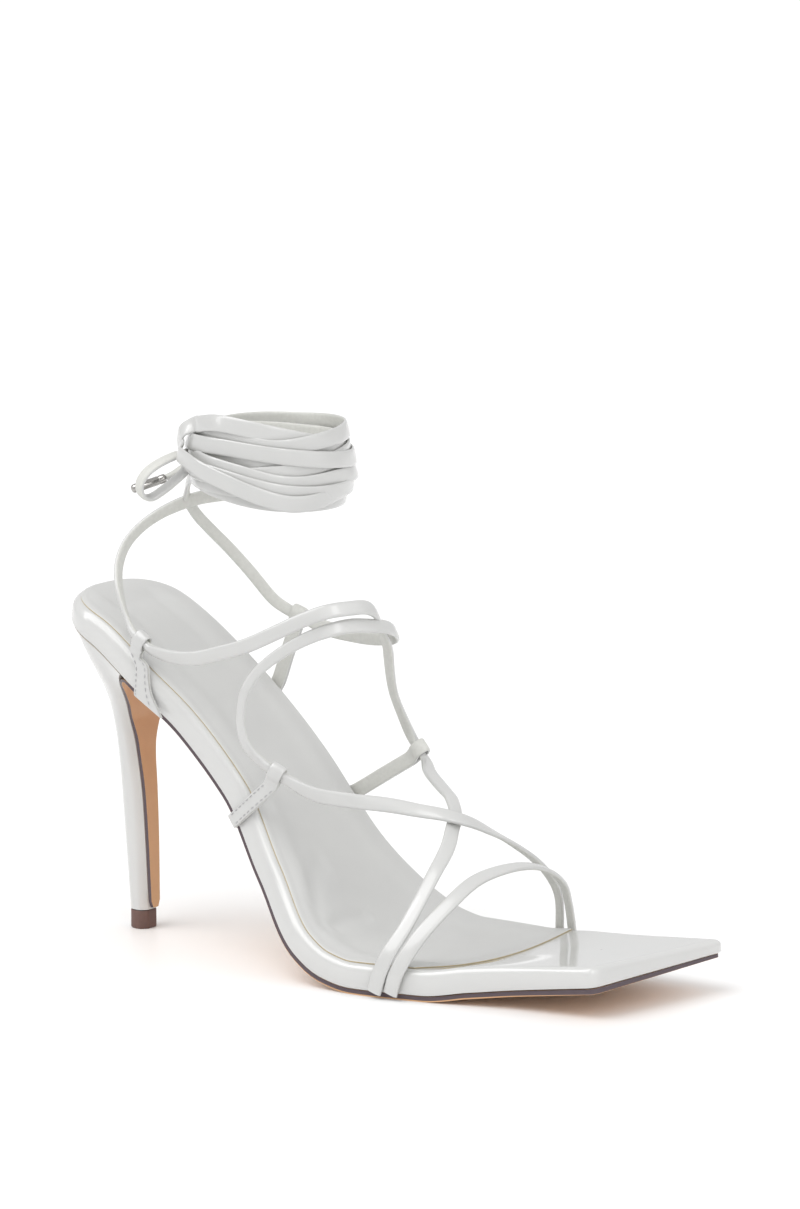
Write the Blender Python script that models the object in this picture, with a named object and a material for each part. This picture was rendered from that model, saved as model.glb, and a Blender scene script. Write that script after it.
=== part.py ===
# Lace-up stiletto sandal for the right foot, standing empty on a floor.
# Tables and sizes are in millimetres and become metres where a mesh is made.
# X runs from the heel tip to the toe, Y to the medial side, Z up from the floor.

import math

import bmesh
import bpy
import numpy as np

MM = 0.001

# Driving sizes of the shoe
TOE_X = 203.1            # middle of the toe edge, from the heel tip's centre
TOE_HALF = 30.0          # half the width of the square toe
TOE_RADIUS = 3.5         # corner of the toe in plan
TOE_SKEW = 5.7           # the big-toe corner leads by this, the other trails
TOE_SKEW_START = 140.0
SEAT_X = 0.0             # middle of the heel seat
SEAT_DEPTH = 19.6        # from the middle of the seat to the back of the heel
SEAT_POWER = 2.3         # fullness of the round back
BEND_START = 66.0        # the bottom bends into the tread between these rows
BEND_END = 116.0
GAP = 0.3                # room between pieces that meet

# Layers of the bottom, each measured square to the top of the platform
OUTSOLE_THICK = 1.7
OUTSOLE_INSET = 1.0
SOCK_THICK = 1.3
SOCK_INSET = 2.6
SOCK_END_X = 139.6       # middle of the front edge before it bows forward
SOCK_END_BOW = 4.4
SOCK_END_SKEW = 0.178    # the front edge follows the slant of the toe straps

# Straps, loops and ties
STRAP_WIDE = 5.4
TIE_WIDE = 5.2
STRAP_THICK = 2.2
ANCHOR_CLEAR = 0.6       # room between a strap's end and the platform's side
ROLLED_WIDE = 3.8        # a lace narrows where it rolls up inside a loop
LOOP_WIDE = 6.0
LOOP_THICK = 2.2
EYE_INNER = 2.5
EYE_OUTER = 3.7
EYE_STRAIGHT = 4.2       # a lace runs straight this far each side of an eye
ANKLE_X = 51.5           # middle of the wound ring

# The last, through the middle of the platform's top: one row for each section
# x, height of the top, thickness of the platform, hollow of the footbed,
# lateral half-width, medial half-width
LAST = (
    (-24.0, 116.4, 9.9, 0.0, 26.0, 25.2),
    (-12.0, 113.2, 9.7, 0.6, 26.1, 25.3),
    (0.0, 108.6, 9.4, 0.9, 26.2, 25.4),
    (19.0, 95.6, 8.9, 0.8, 27.0, 26.9),
    (38.0, 79.8, 8.5, 0.6, 25.2, 26.9),
    (57.0, 60.4, 8.3, 0.7, 25.5, 27.4),
    (76.0, 35.2, 8.3, 1.0, 31.8, 30.3),
    (95.0, 16.2, 8.3, 1.8, 41.2, 37.6),
    (103.0, 12.0, 8.3, 2.1, 42.2, 39.0),
    (112.0, 10.3, 8.3, 2.4, 42.3, 39.4),
    (136.0, 10.3, 8.3, 2.6, 38.7, 38.0),
    (153.0, 12.5, 8.2, 1.9, 34.8, 35.5),
    (172.0, 14.4, 7.5, 0.7, 31.0, 32.5),
    (208.0, 18.0, 6.0, 0.0, 29.0, 30.5),
)

# The heel, from the tip up: heights and places of the back and of the breast,
# half-width of the flat breast, half-width at the widest
# z back, z front, x back, x front, half breast, half wide
HEEL = (
    (6.5, 6.5, -5.0, 2.6, 2.2, 4.4),
    (30.0, 30.0, -7.0, 1.9, 2.9, 4.6),
    (47.0, 47.0, -8.3, 1.0, 3.4, 5.0),
    (62.0, 62.0, -9.2, -0.4, 4.6, 6.4),
    (74.0, 71.0, -9.8, -0.6, 7.6, 9.2),
    (84.0, 77.0, -10.6, 0.9, 11.2, 13.6),
    (92.0, 82.0, -12.4, 4.2, 15.4, 18.2),
    (99.0, 86.0, -15.4, 8.8, 20.2, 22.6),
)
HEEL_TOP_FRONT = 18.0    # where the breast meets the shank, on the last
HEEL_TOP_INSET = 1.0
HEEL_TIP_TALL = 6.2
FLAP_THICK = 1.2
FLAP_END_Z = 8.5

# The four side loops: the row on the last where each starts under the platform
# and crosses its edge, the middle of its eye, and the lace's run through it
# side, base x, edge x, eye, run
LOOPS = {
    "rear_lateral": (-1, 28.0, 21.5, (19.5, -28.0, 103.2), (0.86, -0.10, -0.50)),
    "front_lateral": (-1, 63.0, 62.5, (73.0, -27.0, 65.4), (-0.86, -0.20, 0.48)),
    "rear_medial": (1, 36.5, 34.5, (42.5, 28.0, 105.6), (-0.95, 0.00, 0.30)),
    "front_medial": (1, 64.4, 65.4, (91.0, 28.0, 66.0), (0.68, -0.10, -0.73)),
}

# Where the straps come down the platform's side, on the last
TOE_STRAP_LATERAL_X = 129.4
TOE_STRAP_MEDIAL_X = 144.0
MEDIAL_LACE_X = 139.2
LATERAL_LACE_X = 122.8

# Routes of the straps over the foot, each from one anchor to the other
# x, y, z
TOE_STRAP = (
    (133.6, -36.0, 20.0), (137.8, -26.5, 28.8), (142.0, -13.5, 36.0),
    (146.4, 1.0, 38.3), (148.3, 14.5, 36.0), (148.0, 27.0, 29.0),
    (146.2, 33.5, 21.0),
)
MEDIAL_LACE_FRONT = (
    (142.0, 34.0, 22.5), (141.7, 29.0, 30.0), (139.8, 23.5, 36.0),
    (136.0, 14.5, 43.0), (131.6, 7.0, 48.0), (126.3, -2.5, 52.2),
    (119.2, -6.5, 54.2), (108.0, -12.8, 56.5), (97.0, -19.2, 57.8),
    (86.0, -24.0, 59.4),
)
MEDIAL_LACE_INSTEP = (
    (64.4, -31.0, 73.4), (62.2, -31.5, 79.0), (62.0, -31.5, 85.0),
    (63.0, -31.0, 91.5), (66.0, -29.0, 97.5), (70.0, -27.0, 101.8),
    (75.5, -24.5, 106.2), (80.6, -21.5, 109.5), (86.4, -17.0, 112.2),
    (91.2, -11.0, 113.4), (94.0, -4.0, 112.6), (94.4, 4.0, 110.4),
    (92.4, 11.0, 107.2), (87.0, 17.0, 104.6), (76.5, 21.5, 102.6),
    (66.0, 25.0, 102.0), (54.0, 27.4, 102.6),
)
LATERAL_LACE_INSTEP = (
    (27.0, -29.0, 100.2), (34.0, -30.0, 99.8), (43.0, -30.5, 100.5),
    (52.0, -30.0, 103.0), (62.0, -28.5, 106.4), (71.0, -26.0, 110.9),
    (80.0, -22.0, 115.8), (86.4, -17.0, 118.5), (91.2, -11.0, 119.2),
    (93.2, -5.5, 118.8), (93.6, 0.0, 116.0), (92.6, 5.0, 111.6),
    (91.0, 10.0, 105.5), (88.0, 15.0, 96.7), (86.2, 20.0, 86.0),
    (86.8, 24.5, 77.0),
)
LATERAL_LACE_FRONT = (
    (101.0, 20.5, 61.2), (110.8, 12.5, 59.4), (118.9, 6.0, 56.6),
    (124.2, 0.5, 52.4), (127.0, -5.0, 49.2), (129.2, -11.5, 44.2),
    (130.4, -20.0, 38.4), (130.5, -28.0, 31.2), (129.2, -35.5, 22.4),
    (126.6, -40.8, 14.8),
)

# Routes of the two ties from the rear loops up to the back of the ankle
# x, y, z
LATERAL_STAY = (
    (12.2, -26.0, 109.6), (7.7, -24.0, 118.0), (4.6, -20.2, 125.4),
    (4.4, -16.0, 131.7), (7.3, -11.5, 137.3), (11.7, -7.0, 141.6),
    (14.9, -3.0, 144.2), (16.9, 0.5, 145.4), (19.0, 5.0, 146.1),
    (23.2, 13.0, 146.4),
)
MEDIAL_STAY = (
    (33.6, 26.8, 109.8), (26.3, 23.0, 119.4), (20.7, 18.5, 127.6),
    (17.2, 14.0, 133.5), (15.9, 9.0, 138.5), (16.4, 5.0, 142.5),
    (18.2, 0.5, 146.3), (21.2, -4.5, 150.0), (25.2, -9.6, 153.8),
)

# The ties round the ankle, in quarter turns about the middle of the ring
# turn in degrees, radius, height
LATERAL_TURNS = (
    (125.0, 25.0, 148.8), (35.0, 24.8, 151.2), (-55.0, 24.6, 155.0),
    (-145.0, 24.4, 160.0), (-235.0, 24.4, 163.0), (-325.0, 26.6, 159.2),
    (-415.0, 25.2, 163.0), (-505.0, 25.6, 168.0), (-595.0, 25.0, 170.0),
    (-685.0, 25.6, 172.3), (-775.0, 25.6, 172.0), (-840.0, 24.6, 168.0),
)
MEDIAL_TURNS = (
    (215.0, 26.6, 157.6), (305.0, 26.4, 152.2), (395.0, 26.0, 153.6),
    (485.0, 25.2, 157.0), (575.0, 25.6, 164.0), (665.0, 26.2, 157.6),
    (755.0, 25.4, 156.0), (845.0, 24.8, 162.0), (935.0, 25.6, 169.6),
    (1025.0, 26.6, 169.6), (1115.0, 25.6, 164.0), (1205.0, 24.8, 168.0),
    (1295.0, 25.0, 175.7), (1385.0, 25.2, 176.0), (1475.0, 26.4, 168.0),
)

# The bow beside the knot and the free end that carries the metal tip
# x, y, z
BOW = (
    (29.0, -17.0, 164.9), (26.6, -20.2, 163.8), (23.6, -24.9, 161.5),
    (21.5, -28.0, 158.8), (20.1, -29.2, 155.6), (19.9, -28.3, 151.9),
    (21.1, -25.3, 150.4), (23.6, -21.4, 152.8), (24.9, -18.6, 154.4),
    (24.7, -16.2, 155.1), (23.5, -14.4, 155.8), (21.9, -14.2, 156.1),
    (20.6, -15.5, 155.6),
)
BOW_ACROSS = (0.873, -0.452, -0.184)    # the way the bow's lace is wide
BOW_WIDE = 4.4
BOW_END_WIDE = 2.6      # the lace rolls up into its tip
TIP_END = (13.0, -24.3, 152.2)
TIP_RADIUS = 1.5

# Middle line of the foot, which every strap faces away from
# x, y, z
FOOT_AXIS = (
    (150.0, 0.0, 16.0), (118.0, 0.0, 26.0), (78.0, 0.0, 72.0),
    (52.0, 0.0, 115.0), (ANKLE_X, 0.0, 185.0),
)

# Plain colours of the materials
WHITE_PATENT = (0.84, 0.84, 0.80)
WHITE_SOCK = (0.73, 0.73, 0.71)
TAN_LEATHER = (0.51, 0.26, 0.14)
BROWN_TIP = (0.15, 0.08, 0.07)
CHROME = (0.72, 0.72, 0.72)


def smooth_table(xs, ys):
    """A smooth curve through the rows of a table that never overshoots them."""
    xs = np.asarray(xs, float)
    ys = np.asarray(ys, float)
    step = np.diff(xs)
    rise = np.diff(ys) / step
    slope = np.zeros(len(xs))
    slope[0] = rise[0]
    slope[-1] = rise[-1]
    for i in range(1, len(xs) - 1):
        if rise[i - 1] * rise[i] > 0:
            before = 2 * step[i] + step[i - 1]
            after = step[i] + 2 * step[i - 1]
            slope[i] = (before + after) / (before / rise[i - 1] + after / rise[i])

    def value(x):
        i = int(np.clip(np.searchsorted(xs, x) - 1, 0, len(xs) - 2))
        t = (x - xs[i]) / step[i]
        start = ys[i] * (1 + 2 * t) * (1 - t) ** 2
        start += slope[i] * step[i] * t * (1 - t) ** 2
        end = ys[i + 1] * t * t * (3 - 2 * t)
        end += slope[i + 1] * step[i] * t * t * (t - 1)
        return float(start + end)

    return value


LAST_X = [row[0] for row in LAST]
top_height = smooth_table(LAST_X, [row[1] for row in LAST])
thickness = smooth_table(LAST_X, [row[2] for row in LAST])
hollow = smooth_table(LAST_X, [row[3] for row in LAST])
lateral_half = smooth_table(LAST_X, [row[4] for row in LAST])
medial_half = smooth_table(LAST_X, [row[5] for row in LAST])


def unit(vector):
    vector = np.asarray(vector, float)
    return vector / np.linalg.norm(vector)


def half_width(x, side):
    """Half-width of the platform at a row of the last, with the round ends."""
    table = medial_half if side > 0 else lateral_half
    if x < SEAT_X:
        into = min((SEAT_X - x) / SEAT_DEPTH, 1.0)
        return table(SEAT_X) * (1 - into ** SEAT_POWER) ** (1 / SEAT_POWER)
    into = x - (TOE_X - TOE_RADIUS)
    if into > 0:
        corner = TOE_RADIUS - math.sqrt(max(TOE_RADIUS ** 2 - into ** 2, 0.0))
        return table(x) - corner
    return table(x)


def on_last(x, y, depth):
    """Point under the platform's top, measured square to it. Minus is above.

    The top itself and what lies on it follow the hollow of the footbed.
    """
    if depth <= 0:
        rim = 1 - (y / half_width(x, math.copysign(1, y))) ** 2
        depth += hollow(x) * max(rim, 0.0) ** 1.5
    reach = 0.25
    slope = (top_height(x + reach) - top_height(x - reach)) / (2 * reach)
    size = math.hypot(1, slope)
    along = np.clip((x - TOE_SKEW_START) / (TOE_X - TOE_SKEW_START), 0, 1)
    skew = TOE_SKEW * along * y / TOE_HALF
    return np.array((x + skew + slope * depth / size, y, top_height(x) - depth / size))


def last_rows(end):
    """Rows of the last, close together round the back and at the toe's corners."""
    rows = [SEAT_X - SEAT_DEPTH * math.cos(math.radians(a)) for a in (11, 26, 41, 57, 73)]
    rows += list(np.arange(SEAT_X, BEND_START, 6.0))
    rows += list(np.arange(BEND_START, BEND_END, 3.6))
    if end < TOE_X:
        return rows + list(np.linspace(BEND_END, end, 5))
    rows += list(np.linspace(BEND_END, TOE_X - TOE_RADIUS, 13))
    return rows + [TOE_X - TOE_RADIUS * (1 - math.sin(math.radians(a))) for a in (30, 60, 90)]


def inset_loop(loop, inset):
    """A plan outline drawn in by the same amount all round."""
    result = []
    for i in range(len(loop)):
        along = unit(np.subtract(loop[(i + 1) % len(loop)], loop[i - 1]))
        result.append(np.array(loop[i]) + inset * np.array((-along[1], along[0])))
    return result


def make_object(name, verts, faces, colour, roughness=0.3, metallic=0.0):
    """A named closed mesh with its own material, shaded smooth."""
    mesh = bpy.data.meshes.new(name)
    mesh.from_pydata([tuple(float(c) * MM for c in v) for v in verts], [], faces)
    solid = bmesh.new()
    solid.from_mesh(mesh)
    bmesh.ops.recalc_face_normals(solid, faces=solid.faces)
    solid.to_mesh(mesh)
    solid.free()
    mesh.polygons.foreach_set("use_smooth", [True] * len(mesh.polygons))
    obj = bpy.data.objects.new(name, mesh)
    bpy.context.scene.collection.objects.link(obj)
    material = bpy.data.materials.new(name)
    material.use_nodes = True
    shader = material.node_tree.nodes["Principled BSDF"]
    shader.inputs["Base Color"].default_value = (*colour, 1.0)
    shader.inputs["Roughness"].default_value = roughness
    shader.inputs["Metallic"].default_value = metallic
    mesh.materials.append(material)
    return obj


def loft_faces(rings, size, closed_ends):
    """Quads between neighbouring rings, with a face over each end if asked."""
    faces = []
    for r in range(rings - 1):
        for i in range(size):
            j = (i + 1) % size
            faces.append((r * size + i, r * size + j, (r + 1) * size + j, (r + 1) * size + i))
    if closed_ends:
        faces.append(tuple(range(size)))
        faces.append(tuple(range((rings - 1) * size, rings * size)))
    return faces


def cross_strips(first, size):
    """Faces across a ring, from each lateral point to the medial one opposite."""
    faces = []
    pairs = size // 2
    for i in range(pairs - 1):
        faces.append((first + i, first + i + 1, first + size - 2 - i, first + size - 1 - i))
    return faces


def hollow_cap(verts, first, plan, depth):
    """Faces across a ring with a few columns of points that follow the footbed."""
    size = len(plan)
    rows = []
    for i in range(size // 2):
        start = np.array(plan[i])
        end = np.array(plan[size - 1 - i])
        row = [first + i]
        for share in (0.13, 0.36, 0.64, 0.87):
            row.append(len(verts))
            verts.append(on_last(*(start + (end - start) * share), depth))
        rows.append(row + [first + size - 1 - i])
    faces = []
    for row, after in zip(rows, rows[1:]):
        for i in range(len(row) - 1):
            faces.append((row[i], after[i], after[i + 1], row[i + 1]))
    return faces, rows


def slab(name, loop, levels, colour, roughness):
    """A layer that follows the last: an outline carried through inset levels.

    A level's depth is a function of its row on the last.
    """
    size = len(loop)
    verts = []
    plans = [inset_loop(loop, inset) for inset, _ in levels]
    for plan, (_, depth) in zip(plans, levels):
        for x, y in plan:
            verts.append(on_last(x, y, depth(x)))
    faces = loft_faces(len(levels), size, False)
    for ring in (0, len(levels) - 1):
        first = ring * size
        depth = levels[ring][1](0.0)
        if depth > 0:
            faces += cross_strips(first, size)
            continue
        cap, rows = hollow_cap(verts, first, plans[ring], depth)
        faces += cap
        for row in (rows[0], rows[-1]):
            faces.append(tuple(row))
    return make_object(name, verts, faces, colour, roughness)


def build_platform():
    """The wrapped insole board: square below, round along its top edge."""
    rows = last_rows(TOE_X)
    loop = [(x, -half_width(x, -1)) for x in rows]
    loop += [(x, half_width(x, 1)) for x in reversed(rows)]
    levels = (
        (0.9, thickness), (0.2, lambda x: thickness(x) - 0.4),
        (0.0, lambda x: thickness(x) - 1.4), (0.0, lambda x: 2.2),
        (0.65, lambda x: 0.65), (2.2, lambda x: 0.0),
    )
    return slab("platform", loop, levels, WHITE_PATENT, 0.15)


def build_sock():
    """The padded insole cover, which ends in a slanted bow at the toe straps."""
    rows = last_rows(SOCK_END_X)
    rows = [x for x in rows if x > SEAT_X - SEAT_DEPTH + SOCK_INSET]
    lateral = [(x, SOCK_INSET - half_width(x, -1)) for x in rows]
    medial = [(x, half_width(x, 1) - SOCK_INSET) for x in rows]
    half = lateral[-1][1], medial[-1][1]
    for share in (0.82, 0.6, 0.3):
        bow = SOCK_END_X + SOCK_END_BOW * (1 - share ** 2)
        lateral.append((bow, half[0] * share))
        medial.append((bow, half[1] * share))
    loop = []
    for x, y in lateral + medial[::-1]:
        ramp = np.clip((x - 95.0) / 40.0, 0, 1)
        loop.append((x + SOCK_END_SKEW * y * ramp * ramp * (3 - 2 * ramp), y))
    top = -GAP - SOCK_THICK
    levels = (
        (0.0, lambda x: -GAP), (0.0, lambda x: top + 0.6),
        (0.5, lambda x: top + 0.15), (1.6, lambda x: top),
    )
    return slab("sock", loop, levels, WHITE_SOCK, 0.6)


def heel_section(x_back, x_front, half_breast, half_wide):
    """Outline of the heel in plan: flat breast, full sides and round back."""
    x_wide = x_front - 0.35 * (x_front - x_back)
    lateral = []
    for t in (0.0, 0.4, 0.75):
        y = half_breast + (half_wide - half_breast) * math.sin(t * math.pi / 2)
        lateral.append((x_front - (x_front - x_wide) * t, -y))
    for angle in (0, 20, 38, 56, 74):
        a = math.radians(angle)
        x = x_wide - (x_wide - x_back) * math.sin(a) ** (2 / SEAT_POWER)
        lateral.append((x, -half_wide * math.cos(a) ** (2 / SEAT_POWER)))
    return lateral + [(x_back, 0.0)] + [(x, -y) for x, y in reversed(lateral)]


def build_heel():
    """The covered stiletto: sections that tip over from level to the seat's slope."""
    verts = []
    for z_back, z_front, x_back, x_front, half_breast, half_wide in HEEL:
        for x, y in heel_section(x_back, x_front, half_breast, half_wide):
            share = (x_front - x) / (x_front - x_back)
            verts.append((x, y, z_front + (z_back - z_front) * share))
    half_wide = half_width(SEAT_X, 1) - HEEL_TOP_INSET + 0.6
    top_back = SEAT_X - SEAT_DEPTH + HEEL_TOP_INSET
    top = heel_section(top_back, HEEL_TOP_FRONT, half_wide - 0.4, half_wide)
    for x, y in top:
        verts.append(on_last(x, y, thickness(x) + GAP))
    size = len(top)
    rings = len(HEEL) + 1
    faces = loft_faces(rings, size, False)
    faces.append(tuple(range(size)))
    first = (rings - 1) * size
    faces += cross_strips(first, size)
    middle = size // 2
    faces.append((first + middle - 1, first + middle, first + middle + 1))
    return make_object("heel", verts, faces, WHITE_PATENT, 0.15)


def build_heel_tip():
    """The top piece under the heel, with a small bevel at the floor."""
    x_back, x_front, half_breast, half_wide = HEEL[0][2:]
    verts = []
    for z, inset in ((0.0, 0.3), (0.5, 0.0), (HEEL_TIP_TALL, 0.0)):
        plan = heel_section(x_back + inset, x_front - inset, half_breast - inset, half_wide - inset)
        verts += [(x, y, z) for x, y in plan]
    faces = loft_faces(3, len(verts) // 3, True)
    return make_object("heel_tip", verts, faces, BROWN_TIP, 0.5)


def build_outsole():
    """The sole from toe to shank, carried on down the breast as a flap."""
    verts = []
    rows = [x for x in last_rows(TOE_X) if x > HEEL_TOP_FRONT + 4]
    for x in rows[::-1] + [HEEL_TOP_FRONT + 1.6]:
        corner = OUTSOLE_INSET if x < TOE_X else OUTSOLE_INSET + 0.5
        lateral = -half_width(x, -1) + corner
        medial = half_width(x, 1) - corner
        upper = thickness(x) + GAP
        lower = upper + OUTSOLE_THICK
        for y, depth in ((lateral, upper), (lateral, lower), (medial, lower), (medial, upper)):
            verts.append(on_last(min(x, TOE_X - OUTSOLE_INSET), y, depth))
    breast_top = on_last(HEEL_TOP_FRONT, 0.0, thickness(HEEL_TOP_FRONT) + GAP)
    breast_z = [row[1] for row in HEEL] + [breast_top[2]]
    breast_x = smooth_table(breast_z, [row[3] for row in HEEL] + [breast_top[0]])
    breast_half = smooth_table(breast_z, [row[4] for row in HEEL] + [24.6])
    heights = [88.4, 87.0, 85.4, 83.4, 81.0, 78.5, 76.0, 73.0, 70.0, 66.0, 61.0]
    heights += list(np.linspace(54.0, FLAP_END_Z + 1.5, 6)) + [FLAP_END_Z]
    for z in heights:
        slope = (breast_x(z + 0.2) - breast_x(z - 0.2)) / 0.4
        out = unit((1.0, -slope))
        half = breast_half(z) * (0.6 if z == FLAP_END_Z else 1.0)
        for y, off in ((-half, GAP), (-half, GAP + FLAP_THICK), (half, GAP + FLAP_THICK), (half, GAP)):
            verts.append((breast_x(z) + out[0] * off, y, z + out[1] * off))
    faces = loft_faces(len(verts) // 4, 4, True)
    return make_object("outsole", verts, faces, TAN_LEATHER, 0.5)


def outward(point):
    """Direction from the nearest point of the foot's middle line."""
    best = None
    for start, end in zip(FOOT_AXIS, FOOT_AXIS[1:]):
        start = np.array(start)
        run = np.array(end) - start
        share = np.clip(np.dot(point - start, run) / np.dot(run, run), 0, 1)
        away = point - start - share * run
        if best is None or np.linalg.norm(away) < np.linalg.norm(best):
            best = away
    return unit(best)


def route_points(rows, step):
    """Points along a smooth route through rows of x, y, z and width."""
    rows = [np.array(row, float) for row in rows]
    rows = [2 * rows[0] - rows[1]] + rows + [2 * rows[-1] - rows[-2]]
    points = []
    for a, b, c, d in zip(rows, rows[1:], rows[2:], rows[3:]):
        lengths = [math.sqrt(np.linalg.norm(q[:3] - p[:3])) for p, q in ((a, b), (b, c), (c, d))]
        start = (c - b) - lengths[1] * ((c - a) / (lengths[0] + lengths[1]) - (b - a) / lengths[0])
        end = (c - b) + lengths[1] * ((d - c) / lengths[2] - (d - b) / (lengths[1] + lengths[2]))
        count = max(1, round(lengths[1] ** 2 / step))
        for i in range(count):
            t = i / count
            points.append(
                b * (1 + 2 * t) * (1 - t) ** 2 + start * t * (1 - t) ** 2
                + c * t * t * (3 - 2 * t) + end * t * t * (t - 1)
            )
    points.append(rows[-2])
    return points


def strap(name, rows, step, across=None):
    """A strap with rounded edges along a route, its back to the foot.

    A strap that stands off the foot is told which way it is wide instead.
    """
    points = route_points(rows, step)
    verts = []
    for i, point in enumerate(points):
        before = points[max(i - 1, 0)][:3]
        after = points[min(i + 1, len(points) - 1)][:3]
        along = unit(after - before)
        out = outward(point[:3]) if across is None else np.cross(across, along)
        out = unit(out - along * np.dot(out, along))
        side = np.cross(along, out)
        wide = point[3]
        for share, up in (
            (0.5, 0.2), (0.36, 0.5), (-0.36, 0.5), (-0.5, 0.2),
            (-0.5, -0.2), (-0.36, -0.5), (0.36, -0.5), (0.5, -0.2),
        ):
            verts.append(point[:3] + side * share * wide + out * up * STRAP_THICK)
    return make_object(name, verts, loft_faces(len(points), 8, True), WHITE_PATENT, 0.15)


def through_eye(loop, first, last):
    """Rows of a lace inside a loop, between two places along its run."""
    eye, run = np.array(LOOPS[loop][3]), unit(LOOPS[loop][4])
    rows = []
    for place in (-EYE_STRAIGHT, 0.0, EYE_STRAIGHT):
        place = min(max(place, first), last)
        row = (*(eye + run * place), ROLLED_WIDE)
        if not rows or row != rows[-1]:
            rows.append(row)
    return rows


def anchor(x, side):
    """Rows of a strap up the side of the platform, from the outsole's edge."""
    y = side * (half_width(x, side) + ANCHOR_CLEAR + STRAP_THICK / 2)
    return [on_last(x, y, thickness(x) + 0.8), on_last(x, y, 0.5)]


def widen(route, wide):
    return [(*row, wide) for row in route]


def wound(turns, wide):
    """Rows of a tie round the ankle, at every eighth of a turn."""
    angles = [row[0] for row in turns]
    sign = 1 if angles[-1] > angles[0] else -1
    order = [sign * a for a in angles]
    radius = smooth_table(order, [row[1] for row in turns])
    height = smooth_table(order, [row[2] for row in turns])
    rows = []
    for angle in np.arange(order[0], order[-1] + 1, 22.5):
        turn = math.radians(sign * angle)
        r = radius(angle)
        rows.append((ANKLE_X + r * math.cos(turn), r * math.sin(turn), height(angle), wide))
    return rows


def join(base, others, itself=False):
    """Join straps into one solid where they cross."""
    for other in others:
        cut = base.modifiers.new("join", "BOOLEAN")
        cut.operation = "UNION"
        cut.solver = "EXACT"
        cut.use_self = itself
        cut.object = other
        bpy.context.view_layer.objects.active = base
        bpy.ops.object.modifier_apply(modifier=cut.name)
        bpy.data.objects.remove(other)
    while len(base.data.materials) > 1:
        base.data.materials.pop()
    solid = bmesh.new()
    solid.from_mesh(base.data)
    bmesh.ops.remove_doubles(solid, verts=solid.verts, dist=0.002 * MM)
    bmesh.ops.dissolve_degenerate(solid, edges=solid.edges, dist=0.001 * MM)
    solid.to_mesh(base.data)
    solid.free()
    return base


def build_foot_straps():
    """Toe strap and the foot part of both laces."""
    medial = widen(anchor(MEDIAL_LACE_X, 1) + list(MEDIAL_LACE_FRONT), STRAP_WIDE)
    medial += through_eye("front_lateral", -9, 9)
    medial += widen(MEDIAL_LACE_INSTEP, STRAP_WIDE) + through_eye("rear_medial", -9, -GAP / 2)
    lateral = through_eye("rear_lateral", GAP / 2, 9) + widen(LATERAL_LACE_INSTEP, STRAP_WIDE)
    lateral += through_eye("front_medial", -9, 9)
    lateral += widen(list(LATERAL_LACE_FRONT) + anchor(LATERAL_LACE_X, -1)[::-1], STRAP_WIDE)
    toe = anchor(TOE_STRAP_LATERAL_X, -1) + list(TOE_STRAP) + anchor(TOE_STRAP_MEDIAL_X, 1)[::-1]
    base = strap("foot_straps", lateral, 4.0)
    others = [strap("medial_lace", medial, 4.0)]
    others.append(strap("toe_strap", widen(toe, STRAP_WIDE), 4.0))
    return join(base, others)


def build_ankle_ties():
    """Both ties from the rear loops up the back of the ankle and round it."""
    lateral = through_eye("rear_lateral", -9, -GAP / 2)[::-1]
    lateral += widen(LATERAL_STAY, TIE_WIDE) + wound(LATERAL_TURNS, TIE_WIDE)
    medial = through_eye("rear_medial", GAP / 2, 9)
    medial += widen(MEDIAL_STAY, TIE_WIDE) + wound(MEDIAL_TURNS, TIE_WIDE)
    base = strap("ankle_ties", lateral, 6.0)
    return join(base, [strap("medial_tie", medial, 6.0)], True)


def build_loop(place):
    """A folded strap: a flat leg up the platform's side and a round eye on it."""
    side, base_x, edge_x, eye, run = LOOPS[place]
    eye = np.array(eye)
    run = unit(run)
    clear = GAP + LOOP_THICK / 2
    foot = on_last(base_x, side * (half_width(base_x, side) + clear), thickness(base_x) + 1.0)
    edge = on_last(edge_x, side * (half_width(edge_x, side) + clear), 0.5)
    flare = (half_width(base_x + 2, side) - half_width(base_x - 2, side)) / 4
    rise = unit((eye - edge) - run * np.dot(eye - edge, run))
    head = eye - rise * (EYE_INNER + 0.3)
    neck = eye - rise * (EYE_OUTER + 2.0)
    turned = math.copysign(1.0, run[0]) * run
    verts = []
    legs = ((foot, 0.0), (edge, 0.0), (0.5 * (edge + neck), 0.4), (neck, 0.9), (head, 1.0))
    for i, (point, twist) in enumerate(legs):
        along = unit(legs[min(i + 1, 4)][0] - legs[max(i - 1, 0)][0])
        level = np.cross((0.0, 1.0, 0.0), along)
        level = unit(level + np.array((0.0, side * flare * level[0], 0.0)))
        wide = unit(level * (1 - twist) + turned * twist)
        out = unit(np.cross(wide, along))
        for across, up in (
            (0.47, 0.3), (0.4, 0.5), (-0.4, 0.5), (-0.47, 0.3),
            (-0.47, -0.3), (-0.4, -0.5), (0.4, -0.5), (0.47, -0.3),
        ):
            verts.append(point + wide * across * LOOP_WIDE + out * up * LOOP_THICK)
    leg = make_object("loop_" + place, verts, loft_faces(5, 8, True), WHITE_PATENT, 0.15)
    verts = []
    out = np.cross(rise, run)
    count = 14
    half = LOOP_WIDE / 2
    for i in range(count):
        turn = 2 * math.pi * i / count
        ray = rise * math.cos(turn) + out * math.sin(turn)
        for radius, place_along in ((EYE_INNER, -half), (EYE_OUTER, -half), (EYE_OUTER, half), (EYE_INNER, half)):
            verts.append(eye + ray * radius + run * place_along)
    faces = loft_faces(count, 4, False)
    last = (count - 1) * 4
    faces += [(last + i, last + (i + 1) % 4, (i + 1) % 4, i) for i in range(4)]
    return join(leg, [make_object("eye", verts, faces, WHITE_PATENT, 0.15)])


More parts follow.
